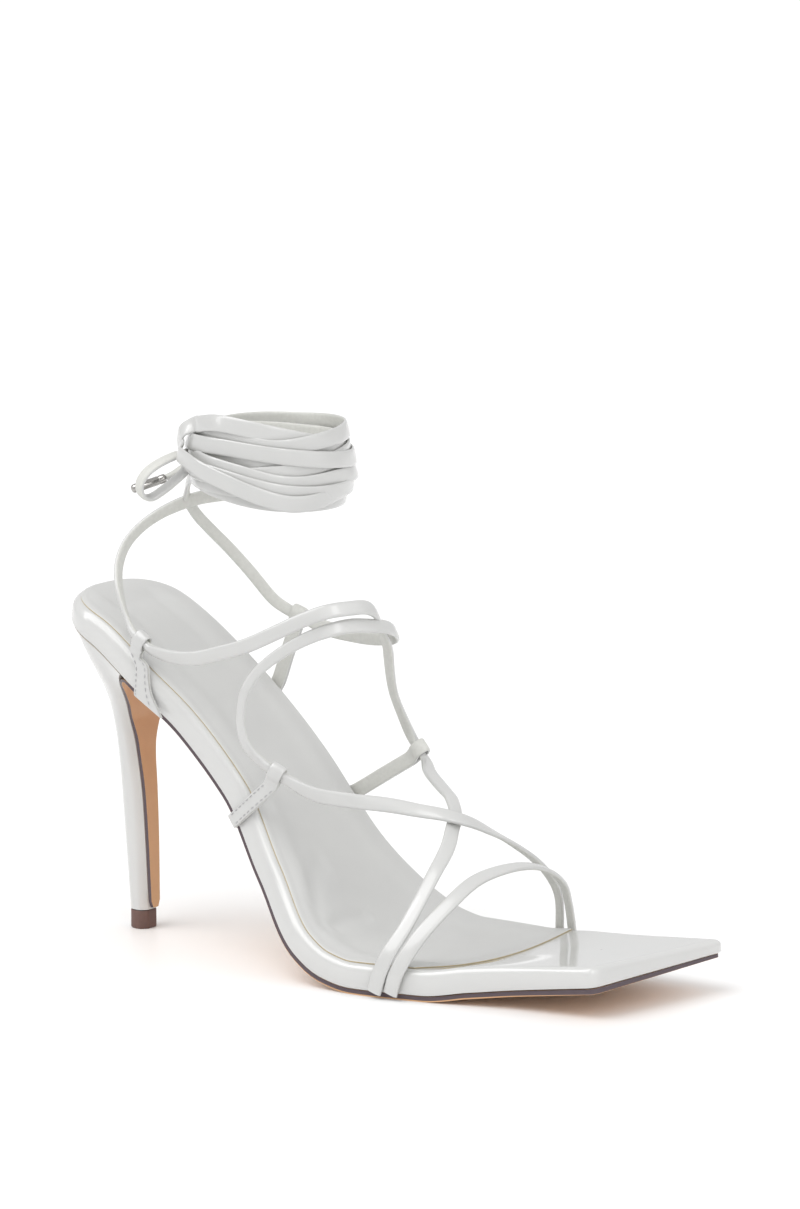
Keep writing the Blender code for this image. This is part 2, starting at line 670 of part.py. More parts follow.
def build_tip():
    """The metal tip: a sleeve with a rounded end along the tie's free end."""
    start = np.array(BOW[-1])
    along = unit(np.subtract(TIP_END, start))
    side = unit(np.cross(along, (0.0, 0.0, 1.0)))
    up = np.cross(side, along)
    length = np.linalg.norm(np.subtract(TIP_END, start))
    verts = []
    for place, share in ((GAP, 0.9), (GAP + 0.5, 1.0), (length - 1.2, 1.0), (length - 0.3, 0.75), (length, 0.3)):
        for i in range(12):
            turn = math.pi * i / 6
            ray = side * math.cos(turn) + up * math.sin(turn)
            verts.append(start + along * place + ray * TIP_RADIUS * share)
    return make_object("tie_tip", verts, loft_faces(5, 12, True), CHROME, 0.1, 1.0)


for old in list(bpy.data.objects):
    bpy.data.objects.remove(old)

build_outsole()
build_platform()
build_sock()
build_heel()
build_heel_tip()
build_foot_straps()
build_ankle_ties()
for loop_place in LOOPS:
    build_loop(loop_place)
bow = widen(BOW[:-2], BOW_WIDE) + widen(BOW[-2:], BOW_END_WIDE)
strap("bow_loop", bow, 3.0, BOW_ACROSS)
build_tip()
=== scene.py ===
# Looks of a lace-up stiletto sandal for the right foot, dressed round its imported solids.
# Tables are in millimetres, as the solids have them, and the finished meshes are in metres.
# X runs from the heel tip to the toe, Y to the medial side, Z up from the floor.

import math

import bpy
import numpy as np
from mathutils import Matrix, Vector


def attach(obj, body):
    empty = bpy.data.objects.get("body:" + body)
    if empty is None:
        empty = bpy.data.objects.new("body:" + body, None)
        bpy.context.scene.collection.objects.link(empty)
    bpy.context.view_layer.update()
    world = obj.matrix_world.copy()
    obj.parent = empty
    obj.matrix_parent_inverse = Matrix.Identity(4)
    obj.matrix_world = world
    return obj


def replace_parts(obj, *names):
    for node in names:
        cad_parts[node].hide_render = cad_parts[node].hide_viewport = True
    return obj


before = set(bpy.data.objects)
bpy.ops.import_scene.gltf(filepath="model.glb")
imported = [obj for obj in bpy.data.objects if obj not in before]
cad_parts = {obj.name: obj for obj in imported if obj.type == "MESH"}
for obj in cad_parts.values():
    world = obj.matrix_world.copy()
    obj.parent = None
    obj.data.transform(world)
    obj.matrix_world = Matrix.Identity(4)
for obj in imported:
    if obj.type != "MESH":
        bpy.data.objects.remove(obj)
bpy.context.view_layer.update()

MM = 0.001
MERGE = 1e-7  # metres
SHADE_ANGLE = 40.0  # corners over this many degrees stay sharp

# The photograph's view: where the camera looks, from how far, and its lens on a 36 mm frame
VIEW_TARGET = (0.1028, 0.0, 0.1200)
VIEW_AZIMUTH = 34.95
VIEW_ELEVATION = 10.69
VIEW_DISTANCE = 2.9
VIEW_LENS = 267.2
VIEW_FRAME = 36.0
VIEW_FAR = 100.0

# The room: a sheet of white paper for a floor, and light from all round
FLOOR_SIZE = 30.0
FLOOR_WHITE = "#FBFBFB"
FLOOR_ROUGHNESS = 0.4
ROOM_LIGHT = 0.76

# Very wide, far panels: the key above and left of the camera, a weak fill on its right
# name, direction it stands in, power, angle across it
PANELS = (
    ("key", (-0.26, -0.58, 1.0), 1.45, 50.0),
    ("fill", (1.0, -0.25, 0.45), 0.85, 80.0),
)

# Strip softboxes that only show as streaks in the lacquer
# name, place from the target, width and height, power
STRIPS = (
    ("strip_left", (-1.1, -1.0, 1.1), (0.3, 1.5), 4.5),
    ("strip_right", (1.3, -0.9, 1.2), (0.3, 1.3), 4.0),
)

# Plan of the bottom
TOE_X = 203.1  # middle of the toe edge, from the heel tip's centre
TOE_HALF = 30.0
TOE_RADIUS = 3.5
TOE_RADIUS_LEAST = 0.3  # of the corner of a layer that is drawn in
TOE_CORNER = (18, 36, 54, 72, 90)
TOE_SKEW = 5.7  # the big-toe corner leads by this, the other trails
TOE_SKEW_START = 140.0
TOE_THIN = 0.12  # share of its thickness that the platform loses at the toe
TOE_CANT = 0.2  # what the big-toe corner loses more and the other less
SEAT_DEPTH = 19.6  # from the middle of the seat to the back of the heel
SEAT_POWER = 2.3  # fullness of the round back
SEAT_ANGLE = 6.0  # between the rows round the back
SEAT_LEAN = 0.17  # slope of the seat's wall, which draws in under its top
HOLLOW_POWER = 1.5  # how softly the hollow of the footbed ends at its sides
PLAN_ROWS = 110
SLOPE_REACH = 0.25
GAP = 0.3  # room between pieces that meet

# The platform's round top edge, and its fuller one round the seat, which grows between two rows
EDGE_ROLL = 2.4
SEAT_ROLL_WIDE = 4.8
SEAT_ROLL_TALL = 4.2
SEAT_ROLL_FROM = 55.0
SEAT_ROLL_FULL = 20.0
ROLL_ANGLES = (0, 12, 24, 36, 48, 60, 75, 90)
# The platform's lower edge
# inset, height over its underside
FEATHER_EDGE = ((0.9, 0.0), (0.35, 0.15), (0.0, 0.8))
PLATFORM_COLUMNS = 24

# The sock, with the rows between which its front edge takes on its bow and slant
SOCK_THICK = 0.8
SOCK_INSET = 2.3
SOCK_END_X = 139.6  # middle of the front edge before it bows forward
SOCK_END_BOW = 4.4
SOCK_END_SKEW = 0.178
SOCK_END_FROM = 95.0
SOCK_END_FULL = 135.0
SOCK_ROWS = 150
SOCK_COLUMNS = 64
# Its edge from the platform up
# inset, height
SOCK_EDGE = ((0.0, 0.05), (0.0, 0.35), (0.14, 0.55), (0.45, 0.7), (1.3, SOCK_THICK))
# The soft roll inside its edge, and the dip inside that round the seat
# height, distance from the edge, half-width
SOCK_ROLL = (0.7, 6.5, 4.0)
SEAT_DIP = (0.25, 13.0, 2.5)
SEAT_DIP_FROM = 30.0
SEAT_DIP_FULL = 15.0
RELIEF_FROM = 3.0  # the relief grows over this much of the edge
CREASE_LIP = 0.6  # how far the leather rises beside a crease

# The heel and the top piece under it
HEEL_TOP_FRONT = 15.2  # the breast under the platform
HEEL_TOP_INSET = 0.45
HEEL_TOP_GAP = 0.05
HEEL_SEAM = 0.35  # height of the seam where the cover is turned in, the band that takes the painted seam shade
HEEL_WIDEST = 0.35  # share of the way from the breast to the back
HEEL_SIDE = np.linspace(0.0, 0.9, 7)
HEEL_BACK = np.radians(np.linspace(0.0, 82.0, 11))
HEEL_TOP_SIDE = np.linspace(HEEL_TOP_FRONT, 1.4, 7)
BREAST_SHARES = (0.25, 0.6)
HEEL_RINGS = 80
HEEL_EASE = 4  # rings averaged on either side of each
HEEL_EASE_FROM = 6  # rings over which that starts at either end
# z, inset
HEEL_TIP = ((0.0, 0.3), (0.15, 0.1), (0.5, 0.0), (2.0, 0.0), (4.0, 0.0), (5.95, 0.0), (6.2, 0.12))

# The sole and its flap down the breast
OUTSOLE_THICK = 1.7
OUTSOLE_INSET = 1.0
OUTSOLE_ROUND = 0.25
OUTSOLE_SHARP = 50.0  # corners over this many degrees are rounded
OUTSOLE_COLUMNS = 10
OUTSOLE_STOP = 2.0  # the sole's own rows stop this far ahead of the breast
SOLE_BARE = 0.25  # share of the edge that the paint leaves bare where most shows
ARCH_X = (75.0, 105.0)  # from the flap's thickness to the sole's own
FLAP_THICK = 1.2
FLAP_TOP_HALF = 25.0
FLAP_END_Z = 7.2
FLAP_END_ROUND = 1.2  # the end draws in over this height
FLAP_END_NARROW = 0.4  # and by this share
FLAP_REACH = 0.2
TURN_ROWS = 4  # rows averaged either side of where the flap starts
TURN_PASSES = 3
# x, share of the bare edge that shows
BARE_ALONG = ((80.0, 110.0, 155.0, 200.0), (0.15, 1.0, 1.0, 0.15))
# from z, to z, rows
FLAP_ROWS = ((90.0, 61.0, 26), (59.0, FLAP_END_Z, 24))

# Straps and ties
STRAP_WIDE = 4.9
STRAP_THICK = 1.7
STAY_WIDE = 4.6
STAY_EDGEWAYS = 3.9  # the medial stay is rolled a little
TIE_WIDE = 5.5
TIE_THICK = 1.15
ROLLED_WIDE = 3.8  # a lace rolls up inside a loop
ROLLED_THICK = 2.4
LACE_STEP = 1.3
SPAN_STEPS = 12  # points between two rows of a route
FACE_EASE = (6, 4)
BAND_SIDES = 18
BAND_BOXY = 0.5  # 1 is round, less is squarer
BAND_CROWN = 0.25  # how much rounder the flat sides are
ANCHOR_CLEAR = 0.3
ANCHOR_FAR_WIDE = 3.0
ANCHOR_NEAR_WIDE = 5.3
ANCHOR_SLANT = 2.2
ANCHOR_OVER = 0.1  # a strap's end stops this far over the sole
ANCHOR_TOP = 1.2  # depth of its next place, and how far that shifts
ANCHOR_SHIFT = 0.2

# The four side loops and their stitches
LOOP_WIDE = 4.9
LOOP_LAYER = 1.0
LOOP_FOOT_LAYER = 0.65
LOOP_FOOT_UNDER = 1.0  # the foot goes this far under the platform
LOOP_BEND = 0.35  # share of the way from the platform's edge to the foot
LOOP_BEND_DEPTH = 0.55  # share of the platform's thickness
LOOP_BEND_OUT = 0.1
LOOP_EDGE_DEPTH = 0.5
LOOP_NECK = 2.2  # under the eye
LOOP_TWIST = (0.0, 0.0, 0.1, 0.5, 0.95)  # shares of the turn to the eye, from foot to neck
LOOP_SPLIT = 0.02  # half the room between the two layers
LOOP_STEP = 0.8
LOOP_SIDES = 14
LOOP_BOXY = 0.32
FLARE_REACH = 2.0
FOLD_STEP = 0.6
EYE_TALL = 2.85
EYE_DEEP = 1.95
EYE_STRAIGHT = 4.2
EYE_ARC = np.radians(np.linspace(145.0, -145.0, 31))
STITCH_PITCH = 2.1
STITCH_LONG = 1.35
STITCH_RADIUS = 0.2
STITCH_INSET = 0.75
STITCH_FIRST = 2.2  # from the foot
STITCH_LAST = 0.8  # from the neck
STITCH_PROUD = 0.08
STITCH_SINK = 0.22  # its ends go down by this
STITCH_TAPER = 0.35
STITCH_RINGS = 5
STITCH_SIDES = 8

# The ring of ties round the ankle
ANKLE_X = 51.5
RING_INNER = 23.6
RING_LEAN = 0.55  # steepest slope of a band on those under it
RING_STEP = 7.5  # degrees
RING_LEVELS = np.arange(140.0, 190.0, 0.4)
RING_HEIGHT_EASE = 2
RING_EASE = (2, 1)
TIE_CLEAR = 0.08
REST_APART = 0.3  # a band leans on places this far from its middle
REST_TOUCH = 1e-6

# The last: one row for each section
# x, height of the top, thickness of the platform, hollow of the footbed,
# lateral half-width, medial half-width
LAST = (
    (-24.0, 116.4, 8.0, 0.0, 26.0, 25.2),
    (-12.0, 113.2, 8.4, 0.6, 26.1, 25.3),
    (0.0, 108.6, 9.3, 0.9, 26.2, 25.4),
    (19.0, 95.6, 9.5, 0.8, 27.0, 26.9),
    (38.0, 79.8, 8.5, 0.6, 25.2, 26.9),
    (57.0, 60.4, 8.3, 0.7, 25.5, 27.4),
    (76.0, 35.2, 8.3, 1.0, 31.8, 30.3),
    (95.0, 16.2, 8.3, 1.8, 41.2, 37.6),
    (103.0, 12.0, 8.3, 2.1, 42.2, 39.0),
    (112.0, 10.3, 8.3, 2.4, 42.3, 39.4),
    (136.0, 10.3, 8.3, 2.6, 38.7, 38.0),
    (153.0, 12.5, 8.2, 1.9, 34.8, 35.5),
    (172.0, 14.4, 7.5, 0.7, 31.0, 32.5),
    (208.0, 18.0, 6.0, 0.0, 29.0, 30.5),
)

# The heel from the tip up
# z back, z front, x back, x front, half breast, half wide
HEEL = (
    (6.5, 6.5, -5.0, 2.6, 2.2, 4.4),
    (30.0, 30.0, -7.0, 1.9, 2.9, 4.6),
    (47.0, 47.0, -8.3, 1.0, 3.4, 5.0),
    (62.0, 62.0, -9.2, -0.4, 4.6, 6.4),
    (74.0, 71.0, -9.8, -0.6, 7.6, 9.2),
    (84.0, 77.0, -10.6, 0.9, 11.2, 13.6),
    (92.0, 82.0, -12.4, 2.2, 15.2, 18.2),
    (99.0, 86.6, -14.6, 4.0, 20.0, 22.4),
)

# The four side loops
# side, base x, edge x, eye, run of the lace through it
LOOPS = {
    "rear_lateral": (-1, 28.0, 21.5, (19.5, -28.0, 103.2), (0.86, -0.10, -0.50)),
    "front_lateral": (-1, 63.0, 62.5, (73.0, -27.0, 65.4), (-0.86, -0.20, 0.48)),
    "rear_medial": (1, 36.5, 34.5, (42.5, 28.0, 105.6), (-0.95, 0.00, 0.30)),
    "front_medial": (1, 64.4, 65.4, (91.0, 28.0, 66.0), (0.68, -0.10, -0.73)),
}

# Leg of the rear lateral loop from its foot up, which widens toward the toe along the sole
# x, y, z, slope of the cut, width
REAR_LEG = (
    (22.0, -27.9, 81.7, -0.60, 12.8), (20.2, -27.9, 86.2, -0.30, 7.2),
    (19.7, -27.9, 90.6, -0.08, 5.4), (19.6, -28.0, 95.0, 0.0, LOOP_WIDE),
)

# Where the straps come down the platform's side, on the last
TOE_STRAP_LATERAL_X = 127.9
TOE_STRAP_MEDIAL_X = 144.0
MEDIAL_LACE_X = 139.2
LATERAL_LACE_X = 122.3

# Routes of the straps over the foot
# x, y, z
TOE_STRAP = (
    (134.8, -36.0, 20.0), (138.9, -26.5, 28.8), (142.0, -13.5, 36.0),
    (146.4, 1.0, 38.3), (148.3, 14.5, 36.0), (148.0, 27.0, 29.0),
    (146.2, 33.5, 21.0),
)
MEDIAL_LACE_FRONT = (
    (142.0, 34.0, 22.5), (141.7, 29.0, 30.0), (139.8, 23.5, 36.0),
    (136.0, 14.5, 43.0), (131.6, 7.0, 48.0), (126.3, -2.5, 52.2),
    (119.2, -6.5, 54.2), (108.0, -12.8, 56.5), (97.0, -19.2, 57.8),
    (86.0, -24.0, 59.4),
)
MEDIAL_LACE_INSTEP = (
    (64.4, -31.0, 73.4), (62.2, -31.5, 79.0), (62.0, -31.5, 85.0),
    (63.0, -31.0, 91.5), (66.0, -29.0, 97.5), (70.0, -27.0, 101.8),
    (75.5, -24.5, 106.2), (80.6, -21.5, 109.5), (86.4, -17.0, 112.2),
    (91.2, -11.0, 113.4), (94.0, -4.0, 112.6), (94.4, 4.0, 110.4),
    (92.4, 11.0, 107.2), (87.0, 17.0, 104.6), (76.5, 21.5, 102.6),
    (66.0, 25.0, 102.0), (54.0, 27.4, 102.6),
)
LATERAL_LACE_INSTEP = (
    (27.0, -29.0, 100.2), (34.0, -30.0, 99.8), (43.0, -30.5, 100.5),
    (52.0, -30.0, 103.0), (62.0, -28.5, 106.4), (71.0, -26.0, 110.9),
    (80.0, -22.0, 115.8), (86.4, -17.0, 118.5), (91.2, -11.0, 119.2),
    (93.2, -5.5, 118.8), (93.6, 0.0, 116.0), (92.6, 5.0, 111.6),
    (91.0, 10.0, 105.5), (88.0, 15.0, 96.7), (86.2, 20.0, 86.0),
    (86.8, 24.5, 77.0),
)
LATERAL_LACE_FRONT = (
    (100.4, 20.5, 60.9), (110.8, 12.4, 58.4), (120.0, 5.4, 56.3),
    (125.0, 0.6, 53.6), (127.2, -5.0, 49.4), (129.2, -11.5, 44.2),
    (130.4, -20.0, 38.4), (130.5, -28.0, 31.2), (129.2, -35.5, 22.4),
    (126.6, -40.8, 14.8),
)
LATERAL_STAY = (
    (12.2, -26.0, 109.6), (7.7, -24.0, 118.0), (4.6, -20.2, 125.4),
    (4.4, -16.0, 131.7), (7.3, -11.5, 137.3), (11.7, -7.0, 141.6),
    (14.9, -3.0, 144.2), (16.9, 0.5, 145.4), (19.0, 5.0, 146.1),
    (23.2, 13.0, 146.4),
)
MEDIAL_STAY = (
    (33.6, 26.8, 109.8), (26.3, 23.0, 119.4), (20.7, 18.5, 127.6),
    (17.2, 14.0, 133.5), (15.9, 9.0, 138.5), (16.4, 5.0, 142.5),
    (18.2, 0.5, 146.3), (21.2, -4.5, 150.0), (25.2, -9.6, 153.8),
)

# Twist of the lateral lace inside the front medial loop
EYE_TWIST = (0.0, 0.45, 0.9)

# What changes along a lace, by its rows: twist, then width and thickness
# rows, values
FRONT_TWIST = ((7, 8, 9, 10, 11), (0.0, 0.1, 0.4, 0.8, 0.95))
STAY_TWIST = ((0, 1, 2, 4, 5), (0.1, 0.25, 0.25, 0.1, 0.0))
INSTEP_TWIST = ((0, 1, 2, 3, 4, 5, 6), (0.0, -0.1, -0.35, -0.55, -0.4, -0.2, 0.0))
NEAR_WIDTH = ((1, 4), (ANCHOR_NEAR_WIDE, STRAP_WIDE))
FAR_WIDTH = ((2, 6), (ANCHOR_FAR_WIDE, STRAP_WIDE))
INSTEP_WIDTH = ((0, 2, 4, 9), (3.8, 3.2, 3.4, STRAP_WIDE))
FRONT_THICK = ((8, 11), (STRAP_THICK, ROLLED_THICK))

# Where the laces cross: the place, how far the lift reaches, and the lift of each
# x, y, z, reach, lateral lift, medial lift
CROSSINGS = (
    (125.4, -1.5, 52.0, 14.0, -1.0, 1.0),
    (93.2, 6.5, 110.0, 14.0, -1.1, 1.1),
    (17.4, 2.0, 145.4, 13.0, -1.0, 1.0),
)

# The ties round the ankle, about the middle of the ring
# turn in degrees, height, layer from the skin out
LATERAL_TURNS = (
    (125.0, 148.8, 0.0), (35.0, 151.3, 0.0), (-10.0, 151.4, 0.0), (-55.0, 152.4, 0.0),
    (-100.0, 155.5, 0.0), (-145.0, 157.0, 0.0), (-235.0, 157.0, 1.0),
    (-325.0, 159.2, 3.5), (-370.0, 159.3, 3.0), (-400.0, 158.0, 3.0), (-415.0, 159.7, 3.0),
    (-460.0, 164.4, 3.0), (-505.0, 166.0, 2.0), (-595.0, 164.5, 2.0),
    (-685.0, 163.9, 6.0), (-730.0, 165.6, 6.0), (-775.0, 168.4, 6.0), (-820.0, 170.2, 6.0),
    (-865.0, 169.3, 4.0), (-955.0, 167.5, 3.0),
    (-1045.0, 168.3, 1.0), (-1090.0, 170.5, 1.0), (-1135.0, 175.1, 1.5), (-1180.0, 178.0, 4.0),
    (-1210.0, 174.6, 7.0),
)
MEDIAL_TURNS = (
    (215.0, 157.6, 0.5), (260.0, 157.2, 0.5), (305.0, 156.5, 0.5), (350.0, 157.0, 0.5),
    (395.0, 157.2, 0.5), (485.0, 158.0, 1.0),
    (575.0, 163.0, 6.0), (620.0, 162.0, 5.0), (665.0, 156.9, 4.0), (695.0, 154.9, 4.0),
    (710.0, 154.9, 4.0), (755.0, 155.5, 3.0), (845.0, 159.5, 2.0),
    (935.0, 167.0, 1.0), (980.0, 168.2, 1.0), (1025.0, 164.5, 1.0), (1070.0, 162.0, 1.0),
    (1115.0, 161.5, 1.0), (1205.0, 161.5, 1.0),
    (1295.0, 160.5, 1.5), (1340.0, 160.5, 2.0), (1385.0, 161.8, 2.0), (1430.0, 164.5, 2.0),
    (1475.0, 166.8, 2.0), (1565.0, 168.0, 2.0),
    (1655.0, 172.5, 1.0), (1700.0, 174.2, 1.0), (1737.0, 170.6, 2.0), (1745.0, 170.1, 2.0),
    (1790.0, 172.2, 4.0), (1835.0, 173.1, 4.0), (1925.0, 170.6, 4.0), (1970.0, 170.3, 3.0),
    (2007.5, 170.8, 2.0),
)
# The lateral tie's end, which turns down at the knot and comes back over the others
# x, y, z
KNOT = (
    (31.0, -20.6, 172.9), (29.7, -20.0, 170.2), (30.7, -20.9, 167.9),
)
# turn in degrees, height, layer
KNOT_TURNS = (
    (230.0, 166.5, 9.0), (237.5, 165.5, 9.0), (255.0, 162.9, 9.0), (284.0, 158.2, 9.0),
    (305.0, 153.8, 9.0), (330.0, 151.7, 9.0), (347.0, 153.4, 6.0), (363.0, 154.2, 3.0),
    (395.0, 154.6, 2.0), (440.0, 156.0, 1.0), (485.0, 157.0, 1.0),
)

# The bow beside the knot and the free end that carries the metal tip
# x, y, z
BOW = (
    (27.9, -18.5, 164.4), (26.6, -20.2, 163.8), (23.6, -24.9, 161.5),
    (21.5, -28.0, 158.8), (20.1, -29.2, 155.6), (19.9, -28.3, 151.9),
    (21.1, -25.3, 150.4), (23.6, -21.4, 152.6), (26.0, -18.6, 155.4),
    (28.4, -16.2, 158.4), (28.0, -13.4, 159.6), (25.0, -11.8, 158.6),
    (22.2, -13.4, 156.8), (20.6, -15.5, 155.6),
)
BOW_ACROSS = (0.873, -0.452, -0.184)
BOW_WIDE = 4.4
BOW_END_WIDE = 2.6
BOW_THICK = 1.7
BOW_STEP = 1.0
TIP_END = (13.0, -24.3, 152.2)
TIP_RADIUS = 1.5
TIP_SIDES = 24
# The tip from the tie to its end: place, where minus is back from the end, and share of its radius
TIP_SECTION = (
    (GAP, 0.86), (GAP + 0.15, 0.97), (GAP + 0.4, 1.0), (2.2, 1.0), (2.4, 0.93), (2.8, 0.93),
    (3.0, 1.0), (-1.3, 1.0), (-0.7, 0.93), (-0.25, 0.72), (0.0, 0.4),
)

# Creases pressed into the sock at the ball
# points of x and y on the last, half-width, depth
SOCK_CREASES = (
    (((77.4, -8.8), (79.7, -15.8), (82.5, -20.3), (87.8, -27.0), (93.0, -29.8)), 2.6, 0.6),
    (((94.0, -24.4), (92.8, -17.7), (92.7, -12.9), (93.4, -5.6)), 2.0, 0.5),
)

# Middle line of the foot, which every strap faces away from
# x, y, z
FOOT_AXIS = (
    (150.0, 0.0, 16.0), (118.0, 0.0, 26.0), (78.0, 0.0, 72.0),
    (52.0, 0.0, 115.0), (ANKLE_X, 0.0, 185.0),
)


# Curves and the last

def smooth_table(xs, ys):
    """A smooth curve through the rows of a table that never overshoots them."""
    xs = np.asarray(xs, float)
    ys = np.asarray(ys, float)
    step = np.diff(xs)
    rise = np.diff(ys) / step
    slope = np.zeros(len(xs))
    slope[0] = rise[0]
    slope[-1] = rise[-1]
    for i in range(1, len(xs) - 1):
        if rise[i - 1] * rise[i] > 0:
            before = 2 * step[i] + step[i - 1]
            after = step[i] + 2 * step[i - 1]
            slope[i] = (before + after) / (before / rise[i - 1] + after / rise[i])

    def value(x):
        i = int(np.clip(np.searchsorted(xs, x) - 1, 0, len(xs) - 2))
        t = (x - xs[i]) / step[i]
        start = ys[i] * (1 + 2 * t) * (1 - t) ** 2
        start += slope[i] * step[i] * t * (1 - t) ** 2
        end = ys[i + 1] * t * t * (3 - 2 * t)
        end += slope[i + 1] * step[i] * t * t * (t - 1)
        return float(start + end)

    return value


LAST_X = [row[0] for row in LAST]
top_height = smooth_table(LAST_X, [row[1] for row in LAST])
thickness = smooth_table(LAST_X, [row[2] for row in LAST])
hollow = smooth_table(LAST_X, [row[3] for row in LAST])
lateral_half = smooth_table(LAST_X, [row[4] for row in LAST])
medial_half = smooth_table(LAST_X, [row[5] for row in LAST])


def unit(vector):
    vector = np.asarray(vector, float)
    return vector / np.linalg.norm(vector)


def blend(place, start, full):
    """Share from 0 at the start to 1 where it is full, with soft ends."""
    share = np.clip((place - start) / (full - start), 0, 1)
    return share * share * (3 - 2 * share)


def half_width(x, side):
    """Half-width of the platform at a row of the last, with the round back."""
    table = medial_half if side > 0 else lateral_half
    if x < 0:
        into = min(-x / SEAT_DEPTH, 1.0)
        return table(0.0) * (1 - into ** SEAT_POWER) ** (1 / SEAT_POWER)
    return table(x)


def on_last(x, y, depth):
    """Point under the platform's top, measured square to it. Minus is above.

    The top itself and what lies on it follow the hollow of the footbed.
    """
    if depth <= 0:
        half = max(half_width(x, math.copysign(1, y)), 1.0)
        depth += hollow(x) * max(1 - (y / half) ** 2, 0.0) ** HOLLOW_POWER
    slope = (top_height(x + SLOPE_REACH) - top_height(x - SLOPE_REACH)) / (2 * SLOPE_REACH)
    size = math.hypot(1, slope)
    along = np.clip((x - TOE_SKEW_START) / (TOE_X - TOE_SKEW_START), 0, 1)
    skew = TOE_SKEW * along * y / TOE_HALF
    if depth > 0:
        depth *= 1 - along ** 2 * (TOE_THIN + TOE_CANT * y / TOE_HALF)
        if x < 0:
            skew += SEAT_LEAN * depth * min(-x / SEAT_DEPTH, 1.0)
    return np.array((x + skew + slope * depth / size, y, top_height(x) - depth / size))


def edge_roll(x):
    """Width and height of the platform's round top edge, which is fuller round the seat."""
    fuller = blend(x, SEAT_ROLL_FROM, SEAT_ROLL_FULL)
    wide = EDGE_ROLL + (SEAT_ROLL_WIDE - EDGE_ROLL) * fuller
    tall = EDGE_ROLL + (SEAT_ROLL_TALL - EDGE_ROLL) * fuller
    return wide, tall


def roll_depth(x, inset):
    """Depth of the platform's top edge at a place inside its outline."""
    wide, tall = edge_roll(x)
    if inset >= wide:
        return 0.0
    return tall * (1 - math.sqrt(1 - (1 - inset / wide) ** 2))


def plan_rows(inset, end=None, count=PLAN_ROWS):
    """Rows of the bottom's plan: x, lateral y, medial y.

    The inset that draws them in is a number or a function of x.
    """
    def drawn(x):
        return inset(x) if callable(inset) else inset

    seat = drawn(0.0)
    rows = []
    for angle in np.arange(SEAT_ANGLE, 90.0, SEAT_ANGLE):
        back = math.cos(math.radians(angle))
        full = (1 - back ** SEAT_POWER) ** (1 / SEAT_POWER)
        x = -(SEAT_DEPTH - seat) * back
        rows.append((x, (seat - lateral_half(0.0)) * full, (medial_half(0.0) - seat) * full))
    stop = TOE_X - TOE_RADIUS if end is None else end - seat
    for x in np.linspace(0.0, stop, count):
        rows.append((x, drawn(x) - lateral_half(x), medial_half(x) - drawn(x)))
    if end is None:
        toe = drawn(stop)
        radius = max(TOE_RADIUS - toe, TOE_RADIUS_LEAST)
        for angle in TOE_CORNER:
            turn = math.radians(angle)
            x = TOE_X - toe - radius * (1 - math.sin(turn))
            corner = toe + radius * (1 - math.cos(turn))
            rows.append((x, corner - lateral_half(x), medial_half(x) - corner))
    return rows


# Modelling steps

def clear_selection():
    """Object mode with nothing selected."""
    if bpy.context.mode != "OBJECT":
        bpy.ops.object.mode_set(mode="OBJECT")
    bpy.ops.object.select_all(action="DESELECT")


def pick(*pieces):
    """Object mode with only these pieces selected and the first of them active."""
    clear_selection()
    for piece in pieces:
        piece.select_set(True)
    bpy.context.view_layer.objects.active = pieces[0]


def edit(piece):
    """Edit mode on one piece, with all of its mesh selected."""
    pick(piece)
    bpy.ops.object.mode_set(mode="EDIT")
    bpy.ops.mesh.select_all(action="SELECT")


def close_up(piece):
    """Merges what meets, fills what is open, turns the faces out and shades the piece."""
    edit(piece)
    bpy.ops.mesh.remove_doubles(threshold=MERGE)
    bpy.ops.mesh.select_all(action="DESELECT")
    bpy.ops.mesh.select_mode(type="EDGE")
    bpy.ops.mesh.select_non_manifold()
    bpy.ops.mesh.fill_holes(sides=0)
    bpy.ops.mesh.select_all(action="SELECT")
    bpy.ops.mesh.normals_make_consistent(inside=False)
    bpy.ops.mesh.select_mode(type="VERT")
    bpy.ops.object.mode_set(mode="OBJECT")
    bpy.ops.object.shade_smooth_by_angle(angle=math.radians(SHADE_ANGLE))
    return piece


def apply_modifier(piece, kind, **settings):
    pick(piece)
    modifier = piece.modifiers.new(kind.lower(), kind)
    for name, value in settings.items():
        setattr(modifier, name, value)
    bpy.ops.object.modifier_apply(modifier=modifier.name)


def grid(name, rows, columns):
    clear_selection()
    bpy.ops.mesh.primitive_grid_add(x_subdivisions=rows, y_subdivisions=columns, size=2)
    piece = bpy.context.object
    piece.name = name
    piece.data.name = name
    return piece


def rolled(name, rings, lined=(), seamed=()):
    """A grid rolled up into rings of points, its seam merged and its ends closed.

    The sides in lined and the rings in seamed take the second material.
    """
    rings = np.asarray(rings) * MM
    count, sides = rings.shape[:2]
    piece = grid(name, count - 1, sides)
    for face in piece.data.polygons:
        ring = int((face.center.x + 1) / 2 * (count - 1))
        side = int((face.center.y + 1) / 2 * sides)
        if side in lined or ring in seamed:
            face.material_index = 1
    for vertex in piece.data.vertices:
        ring = round((vertex.co.x + 1) / 2 * (count - 1))
        side = round((vertex.co.y + 1) / 2 * sides) % sides
        vertex.co = rings[ring][side]
    return close_up(piece)


